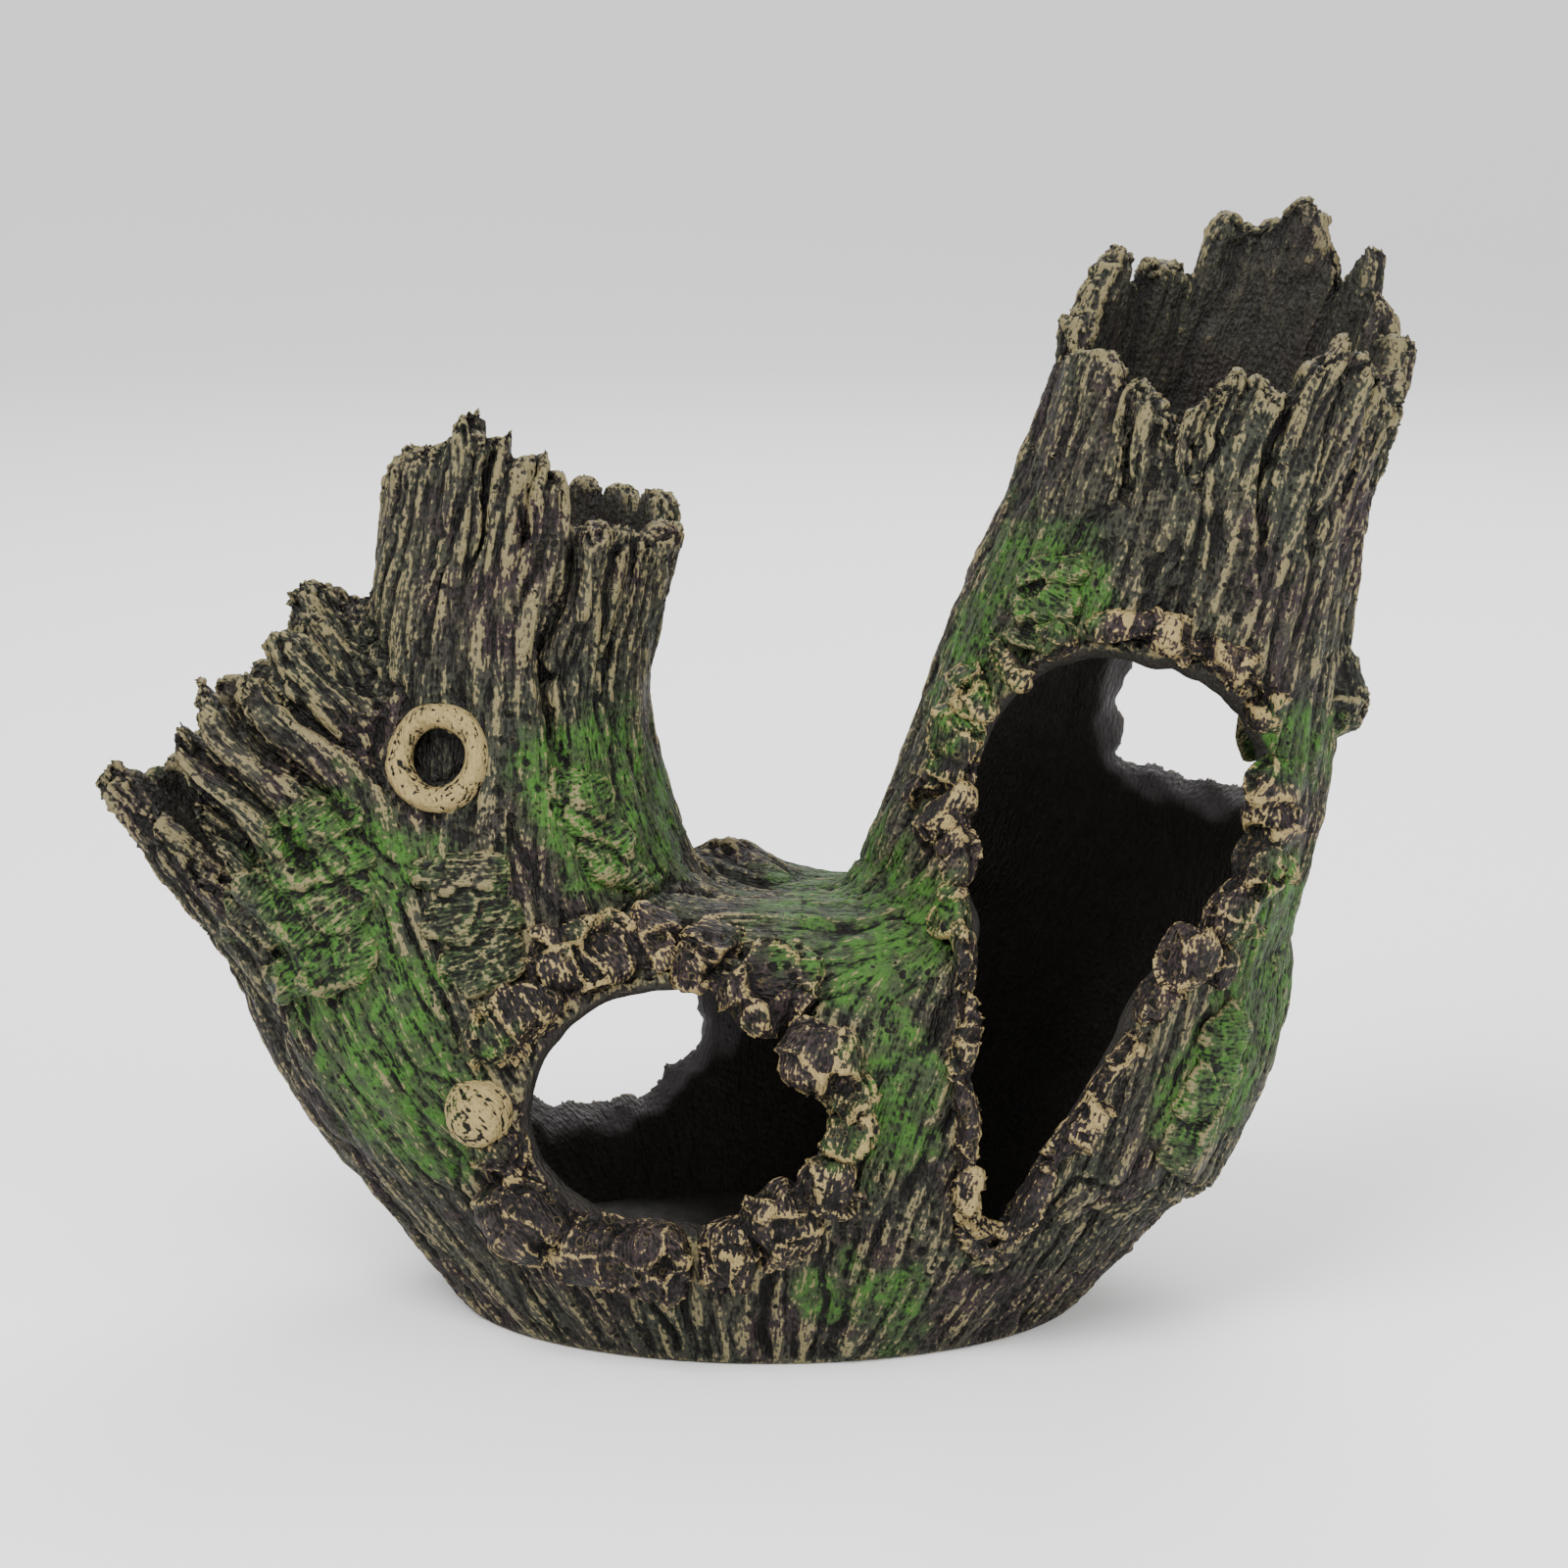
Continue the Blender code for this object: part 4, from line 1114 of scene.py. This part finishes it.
def on_the_skin(x, y, z, amount, wave, seed):
    """Points moved about by smooth noise, so that outlines wander, and their height above
    the uncut skin."""
    points = np.stack([x, y, z]).astype(np.float64)
    bend = np.stack([noise(x, y, z, wave, seed + k) for k in range(3)])
    return points + amount * bend, body_fields(x, y, z)[0]


def bedded(field, height):
    """A relief field cut off at its bed in the bark."""
    return np.maximum(field, -height - EMBED).astype(np.float32)


def run_together(rows, shape, bend, blend, margin):
    """A field of lumps run together, and its box, from rows of (x, z, half length, half
    width, angle). `bend` is the amount, wave and seed of the noise that moves their outlines."""
    seats = [(seat_frame(x, z, angle), a, b) for x, z, a, b, angle in rows]

    def field(x, y, z):
        bent, height = on_the_skin(x, y, z, *bend)
        total = None
        for seat, a, b in seats:
            one = shape(bent, height, seat, a, b)
            total = one if total is None else smooth_min(total, one, blend)
        return bedded(total, height)

    spots = np.array([seat[0] for seat, _, _ in seats])
    reach = max(max(a, b) for _, a, b in seats) + margin
    return field, spots.min(0) - reach, spots.max(0) + reach


def chunk(points, height, seat, a, b):
    """A rim's lump: a blocky one, that stands out by most of its smaller half size."""
    return lump(points, height, seat, 1.1 * a, 1.12 * b, 0.8 * min(a, b) + 1.4, 3.2)


WORN_SPOTS = (              # where the dry brush went over the lumps again: (x, z, radius)
    (-22.9, 54, 7.7), (-32.3, 47, 6.7), (-4.2, 18.3, 4.3), (3.4, 22.3, 4.3),
    (7.7, 43.4, 4.8), (7.7, 27.6, 3.4), (28.9, 85.9, 5.8), (24.2, 74.4, 4.8),
    (65.3, 71.1, 3.8), (60.5, 60.5, 3.8), (-38.2, 65, 6.7), (-36.2, 56.5, 5.8),
    (-58.5, 61.2, 4.8), (26, 21, 5.8), (43.1, 36.4, 5.8),
)


def worn_at(points):
    """How heavily the lumps were brushed at each point: the highest of soft round patches."""
    x, _, z = points.T
    return np.max([np.exp(-((x - sx) ** 2 + (z - sz) ** 2) / r**2) for sx, sz, r in WORN_SPOTS], 0)


def cast_relief(name, made, finish, slot, detail=1.0, step=RELIEF_STEP, veins=1.0, plate=False):
    """Turns a relief field and its box into a piece: sampled, netted, then roughened by bark,
    by raised veins between bent random cells, by each cell's tilted facet and by patches of
    small pits. `detail` scales the roughness. A plate's fibres lie across the log's."""
    field, low, high = made
    values, corner = sample_blocks(field, low, high, step)
    vertices, _, faces = surface_nets(values, (values < 0).astype(np.int8), corner, step)
    quads = faces[1][0]
    normals = vertex_normals(vertices, quads)
    height, fine, way = bark_relief(vertices, normals)
    if plate:
        height, fine, way = 0.4 * height, 0.2 * fine, np.cross(normals, way)
    at = vertices.T
    bend = np.stack([noise(*at, 4.5, seed) for seed in (61, 62, 63)], 1)
    nearest, second, facet = crackle(vertices + 1.6 * bend, 6.4, 3)
    on_vein = veins * (1 - smoothstep(0.0, 0.7, second - nearest))
    from_pit, _, _ = crackle(vertices + 0.8 * bend, 2.2, 4)
    pitted = smoothstep(0.0, 0.5, noise(*at, 7.0, 64))
    in_pit = (1 - smoothstep(0.25, 0.85, from_pit)) * pitted * veins
    rough = 0.32 * veins * facet + 0.2 * noise(*at, 3.0, 31) + 0.15 * noise(*at, 1.3, 32)
    proud = smoothstep(-0.6, 0.4, body_fields(*at.astype(np.float32))[0])
    lift = 0.35 * on_vein - 0.5 * in_pit + rough + (0.15 + 0.25 * (1 - veins)) * height
    vertices = vertices + normals * (detail * proud * lift)[:, None]
    normals = vertex_normals(vertices, quads)
    edge = standing_out(vertices, normals, quads)
    fine = 0.2 * fine + 0.35 * on_vein - 0.25 - 0.5 * in_pit + 0.95 * edge
    fields = {
        "fine": np.clip(fine, -1.5, 1.5), "moss": moss_at(vertices), "tip": worn_at(vertices),
        "pit": 1 - in_pit, "grain": way,
    }
    piece = make_mesh(name + "_cast", vertices, quads, normals, fields)
    piece.data.materials.append(finish)
    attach(piece, "root")
    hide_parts(name)


LOWER_LUMPS = (             # clockwise from the top left: (x, z, half length, half width, angle)
    (-23.4, 54.1, 6.7, 3.8, 12), (-32.6, 46.8, 6.1, 3.6, 38), (-34, 29.6, 3.1, 2.7, 0),
    (-30.7, 21.1, 5.2, 5, 45), (-21.2, 17, 4.4, 4.2, 80), (-13.8, 15.6, 4.4, 5, 0),
    (-4.1, 16.8, 3.2, 5, 0), (2.9, 21.8, 4.4, 4, -50), (7.9, 26.6, 3.3, 3.4, 0),
    (10.6, 33.9, 3.1, 2.3, 0), (7.5, 43.3, 4.6, 3.7, -20), (10.3, 38.7, 3.5, 2.1, -10),
    (1, 51.7, 6, 4.8, 45), (-6.9, 54.7, 4.6, 2.9, 80), (-13.7, 55.8, 3.5, 2.7, 90),
)
RIM_BEND = (0.9, 4.2, 41)
RIM_COAT = (PURPLE_BROWN, (0.014, 0.010, 0.010, 1), (0.040, 0.029, 0.026, 1))
rim_paint = painted_resin("rim_paint", RIM_COAT, RIM_TAN, 0.42, 0.2, 0.9)
lower_rim = run_together(LOWER_LUMPS, chunk, RIM_BEND, 0.4, 4.0)
cast_relief("lower_cave_rim", lower_rim, rim_paint, "rim_paint")

# ---------------------------------------------------------------- the lumps round the upper cave
# The same kind of lumps round the tall log's cave and down both sides of its crack, cast with
# the wall and painted like the lower ring. The lumps along the crack are small and narrow.
UPPER_LUMPS = (             # anticlockwise from the top
    (37.4, 94.9, 2.5, 1.9, 20), (31.9, 90.9, 3.8, 1.3, -40), (27.5, 87.1, 4.8, 1.4, -28),
    (25.8, 81.2, 3.5, 2.9, -20), (23.9, 75.7, 4, 1.7, 8), (24.5, 72.2, 3.1, 1.7, 10),
    (20.8, 73.2, 2.3, 1.8, 20), (23.4, 69.6, 3.3, 2.1, 15), (25.4, 66, 2.3, 2.9, 0),
    (43.5, 96.7, 2.5, 1.4, 5), (47.9, 96.7, 2.3, 1.4, 0), (51.7, 96.2, 2.3, 1.4, -12),
    (55.1, 94.7, 2.1, 1.4, -25), (58.2, 92.9, 2.3, 1.5, -40), (61.6, 90.7, 2.3, 1.6, -45),
    (64, 86.5, 1.9, 2.8, 10), (65.5, 77.3, 3.1, 2.2, 15), (65.6, 71.1, 3.1, 3.6, 0),
    (63.7, 65.7, 3.4, 3.2, 20), (59.9, 60.2, 3.8, 2.6, 42), (62.5, 58.1, 2.6, 2.2, 0),
    (54.3, 55.2, 2.7, 3.3, -20), (57.9, 52.7, 2.9, 2.2, 20), (50.1, 49.5, 2.3, 2.9, -20),
    (24.8, 60, 1.8, 3.1, 0), (25.7, 53.5, 1.5, 3.8, 0), (25.8, 45.1, 1.4, 4.2, 2),
    (26, 35.6, 1.3, 4.2, 2), (26.2, 26.4, 1.3, 4.2, 0), (27.2, 17.9, 1.6, 2.5, 30),
)
CRACK_FROM, CRACK_TO = (48.0, 44.9), (30.0, 17.2)
CRACK_LUMPS = 10


def border_lumps(start, end, count, half_long, half_wide):
    """Small lumps in a row from start to end, each laid along the row."""
    (x0, z0), (x1, z1) = start, end
    angle = math.degrees(math.atan2(z1 - z0, x1 - x0))
    shares = (np.arange(count) + 0.5) / count
    spots = [(x0 + t * (x1 - x0), z0 + t * (z1 - z0)) for t in shares]
    return tuple((x, z, half_long, half_wide, angle) for x, z in spots)


upper_rows = UPPER_LUMPS + border_lumps(CRACK_FROM, CRACK_TO, CRACK_LUMPS, 2.1, 1.3)
upper_rim = run_together(upper_rows, chunk, RIM_BEND, 0.4, 4.0)
cast_relief("upper_cave_rim", upper_rim, rim_paint, "rim_paint")

# ---------------------------------------------------------------- the bark plates
# Five groups of flat bark plates, laid over each other like shingles and cast with the wall.
# They carry most of the sprayed moss, with tan brushed along their lips.
SHELVES = {
    "side_bark_shelf": (
        (-58.4, 70.8, 7.2, 3.3, 12), (-60, 64.9, 8.2, 3.3, 10),
        (-59.7, 59.2, 9.1, 3.5, 16), (-57.8, 52.9, 9.1, 3.6, 18),
    ),
    "middle_bark_shelf": (
        (-38.6, 65.5, 6.2, 3.3, -6), (-38.1, 59.8, 6.7, 3.5, 6), (-36.2, 54.1, 5.8, 3.5, 14),
    ),
    "stump_bark_shelf": (
        (-23.5, 74.4, 5.3, 2.9, -18), (-21.7, 69.6, 6.2, 2.9, -14), (-19.8, 64.7, 5.3, 2.7, -8),
    ),
    "tall_bark_shelf": (
        (37.3, 103.4, 4.8, 2.5, -12), (36.5, 99.4, 5.8, 2.5, -10), (35.9, 95.6, 5.3, 2.4, -6),
    ),
    "foot_bark_shelf": (
        (60.2, 42.8, 5.3, 4, 40), (57.8, 35.9, 5.8, 4, 30), (55.5, 28.9, 4.8, 3.8, 40),
    ),
}
SHELF_PROUD = 2.4


def shingle(points, height, seat, a, b):
    """A bark plate, thin at its top edge and thick at its lower lip."""
    at, way, cross = seat
    v = (points - at[:, None]).T @ cross / b
    down = v if cross[2] < 0 else -v
    lip = SHELF_PROUD * (0.62 + 0.38 * np.clip(down, -1, 1))
    return lump(points, height / lip * SHELF_PROUD, seat, a, b, SHELF_PROUD, 2.8)


MOSS_COAT = ((0.030, 0.044, 0.018, 1), MOSS_DULL, WARM_GREY)
moss_paint = painted_resin("moss_paint", MOSS_COAT, TAN, 0.47, 0.15, 0.7)
for name, rows in SHELVES.items():
    shelf = run_together(rows, shingle, (1.3, 3.6, 44), 0.5, 3.0)
    cast_relief(name, shelf, moss_paint, "moss_paint", veins=0.35, plate=True)

# ---------------------------------------------------------------- the cave's knob
# A round knob at the lower left of the lower cave, cast with the wall. It has shallow rings
# like a cut branch, and is brushed almost solid tan.
CAVE_KNOB = (-36.8, 35.0)
CAVE_KNOB_RADIUS = 4.3
KNOB_RING = 1.9             # spacing of its shallow rings
ROUND_DETAIL = {"step": 0.3, "veins": 0.0}
knob_seat = seat_frame(*CAVE_KNOB)


def from_seat(points, seat):
    """Distance from a seat's middle, measured along the skin."""
    at, way, cross = seat
    return np.hypot((points - at[:, None]).T @ way, (points - at[:, None]).T @ cross)


def knob_field(x, y, z):
    """A ball on the skin, with shallow rings round its middle."""
    points, height = on_the_skin(x, y, z, 0.0, 1.0, 0)
    radius = CAVE_KNOB_RADIUS
    ball = lump(points, height, knob_seat, radius, radius, radius, 2.3)
    out = from_seat(points, knob_seat) + 0.7 * noise(x, y, z, 2.6, 54)
    return bedded(ball + 0.13 * np.cos(2 * np.pi * out / KNOB_RING), height)


def round_box(field, seat, reach):
    """A field with the box that reaches so far to each side of its seat."""
    return field, seat[0] - reach, seat[0] + reach


KNOT_COAT = ((0.150, 0.120, 0.060, 1), TAN, TAN)
knot_paint = painted_resin("knot_paint", KNOT_COAT, RIM_TAN, 1.5, 0.1, 0.35)
knob = round_box(knob_field, knob_seat, CAVE_KNOB_RADIUS + 3)
cast_relief("cave_knob", knob, knot_paint, "rim_paint", 0.4, **ROUND_DETAIL)

# ---------------------------------------------------------------- the knot's ring
# The healed ring round a lost branch: a smooth ring lying on the skin round a blind hole, cast
# with the wall and brushed almost solid tan.
KNOT_RADIUS, KNOT_TUBE = 5.45, 1.65
KNOT_RISE = 0.8             # heights count for less, so the tube is taller than it is wide
knot_seat = seat_frame(*KNOT)


def knot_field(x, y, z):
    """A ring tube on the skin, a little taller than it is wide."""
    points, height = on_the_skin(x, y, z, 0.35, 5.0, 47)
    tube = np.hypot(from_seat(points, knot_seat) - KNOT_RADIUS, height * KNOT_RISE) - KNOT_TUBE
    return bedded(tube, height)


knot = round_box(knot_field, knot_seat, KNOT_RADIUS + KNOT_TUBE + 3)
cast_relief("knot_ring", knot, knot_paint, "rim_paint", 0.3, **ROUND_DETAIL)

# ---------------------------------------------------------------- the twig's stub
# The stub of a snapped twig on the right-hand side: a short cone that grows out of the wall
# and ends in a cup. It is cast with the wall and painted like the bark.
TWIG = {"centre": (73.0, -4.0, 85.0), "radius": 8.6, "length": 7.6, "pitch": 25.0, "dip": -0.3}
TWIG_TAPER = 0.085          # how much of its radius it loses in each millimetre
TWIG_CUP = 1.4              # radius of the hollow in its end
TWIG_BOX = 12               # how far its box reaches from its centre


def twig_field(x, y, z):
    """A cone from inside the wall, with a cupped end."""
    points, _ = on_the_skin(x, y, z, 0.6, 3.5, 51)
    pitch = math.radians(TWIG["pitch"])
    way = np.array([math.cos(pitch), -math.sin(pitch), TWIG["dip"]])
    way /= np.linalg.norm(way)
    from_base = (points - np.array(TWIG["centre"])[:, None]).T
    along = from_base @ way
    out = np.sqrt(np.maximum((from_base**2).sum(1) - along**2, 0))
    radius = TWIG["radius"] * (1 - TWIG_TAPER * along)
    cone = smooth_max(out - radius, np.abs(along - 1.0) - TWIG["length"] + 1.0, 1.8)
    cup = TWIG_CUP - np.hypot(along - TWIG["length"], out)
    return smooth_max(cone, cup, 0.8).astype(np.float32)


twig_paint = painted_resin("twig_paint", BARK_COAT, TAN, 0.52, 0.12, 0.7)
twig = round_box(twig_field, [np.array(TWIG["centre"])], TWIG_BOX)
cast_relief("twig_stub", twig, twig_paint, "painted_bark", veins=0.2)

# ---------------------------------------------------------------- the foot plug
# The pour hole in the flat foot, closed with a plug of bare resin and rubbed flat. Nobody
# paints it, so it keeps the resin's own dark grey-brown with pale filler specks.
bare_resin, tree, shader, at = new_material("bare_resin")
cloudy = between(grain_noise(at, 160.0), 0.35, 0.65)
colour = blend_colour(cloudy, (0.012, 0.010, 0.008, 1), (0.022, 0.018, 0.015, 1))
specks = between(grain_noise(at, 2400.0, 1.0), 0.64, 0.70)
feed(shader["Base Color"], blend_colour(specks, colour, WARM_GREY))
feed(shader["Roughness"], between(grain_noise(at, 500.0), 0.3, 0.7, 0.55, 0.8))
bump = {"Strength": 0.5, "Distance": 0.0002, "Height": grain_noise(at, 900.0)}
feed(shader["Normal"], node(tree, "ShaderNodeBump", bump).outputs["Normal"])
foot_plate = frame["nodes"]["foot_plate"]
foot_plate.data.materials.clear()
foot_plate.data.materials.append(bare_resin)

# ---------------------------------------------------------------- floor, light and camera
# A roll of pale paper, hung so that it sweeps from a flat floor up into the wall behind, lit
# by three softboxes and an even white room.
SWEEP_START, SWEEP_RADIUS, SWEEP_HALF = 1.2, 1.0, 4.0
bend = np.linspace(0, math.pi / 2, 24)
profile_y = np.r_[-4.0, SWEEP_START + SWEEP_RADIUS * np.sin(bend), SWEEP_START + SWEEP_RADIUS]
profile_z = np.r_[0.0, SWEEP_RADIUS * (1 - np.cos(bend)), 4.0]
across = np.array([-SWEEP_HALF, SWEEP_HALF])
columns = [np.repeat(across, len(profile_y)), np.tile(profile_y, 2), np.tile(profile_z, 2)]
grid = np.stack(columns, 1)
low = np.arange(len(profile_y) - 1)
strip = np.stack([low, low + 1, low + 1 + len(profile_y), low + len(profile_y)], 1)[:, ::-1]
floor = make_mesh("floor", grid / MM, strip)
paper = bpy.data.materials.new("pale_paper")
paper.use_nodes = True
shader = paper.node_tree.nodes["Principled BSDF"].inputs
feed(shader["Base Color"], (0.93, 0.93, 0.93, 1))
feed(shader["Roughness"], 0.8)
floor.data.materials.append(paper)


def softbox(name, place, aim, size, power):
    """A square area lamp at a place, turned to face a point."""
    lamp = bpy.data.lights.new(name, "AREA")
    lamp.size = size
    lamp.energy = power
    stand = bpy.data.objects.new(name, lamp)
    bpy.context.scene.collection.objects.link(stand)
    stand.location = place
    stand.rotation_euler = (Vector(aim) - Vector(place)).to_track_quat("-Z", "Y").to_euler()


softbox("key_light", (-0.35, -0.55, 0.85), (0, 0, 0.07), 0.5, 14.0)
softbox("fill_light", (0.7, -0.6, 0.35), (0, 0, 0.07), 0.6, 6.0)
softbox("rim_light", (0.2, 0.7, 0.8), (0, 0, 0.07), 0.6, 8.0)
world = bpy.data.worlds.new("studio")
world.use_nodes = True
room = world.node_tree.nodes["Background"].inputs
feed(room["Color"], (1, 1, 1, 1))
feed(room["Strength"], 1.05)
bpy.context.scene.world = world

LENS = 90.0
ELEVATION = math.radians(12.0)
AIM = Vector((2.6, 0.0, 71.5)) * MM
FRAME_WIDTH = 0.2115        # width of the view where the camera is aimed
SENSOR = 36.0
distance = FRAME_WIDTH * LENS / SENSOR
camera_data = bpy.data.cameras.new("camera")
camera_data.lens = LENS
camera_data.sensor_width = SENSOR
camera = bpy.data.objects.new("camera", camera_data)
bpy.context.scene.collection.objects.link(camera)
camera.location = AIM + distance * Vector((0, -math.cos(ELEVATION), math.sin(ELEVATION)))
camera.rotation_euler = (math.pi / 2 - ELEVATION, 0, 0)
bpy.context.scene.camera = camera
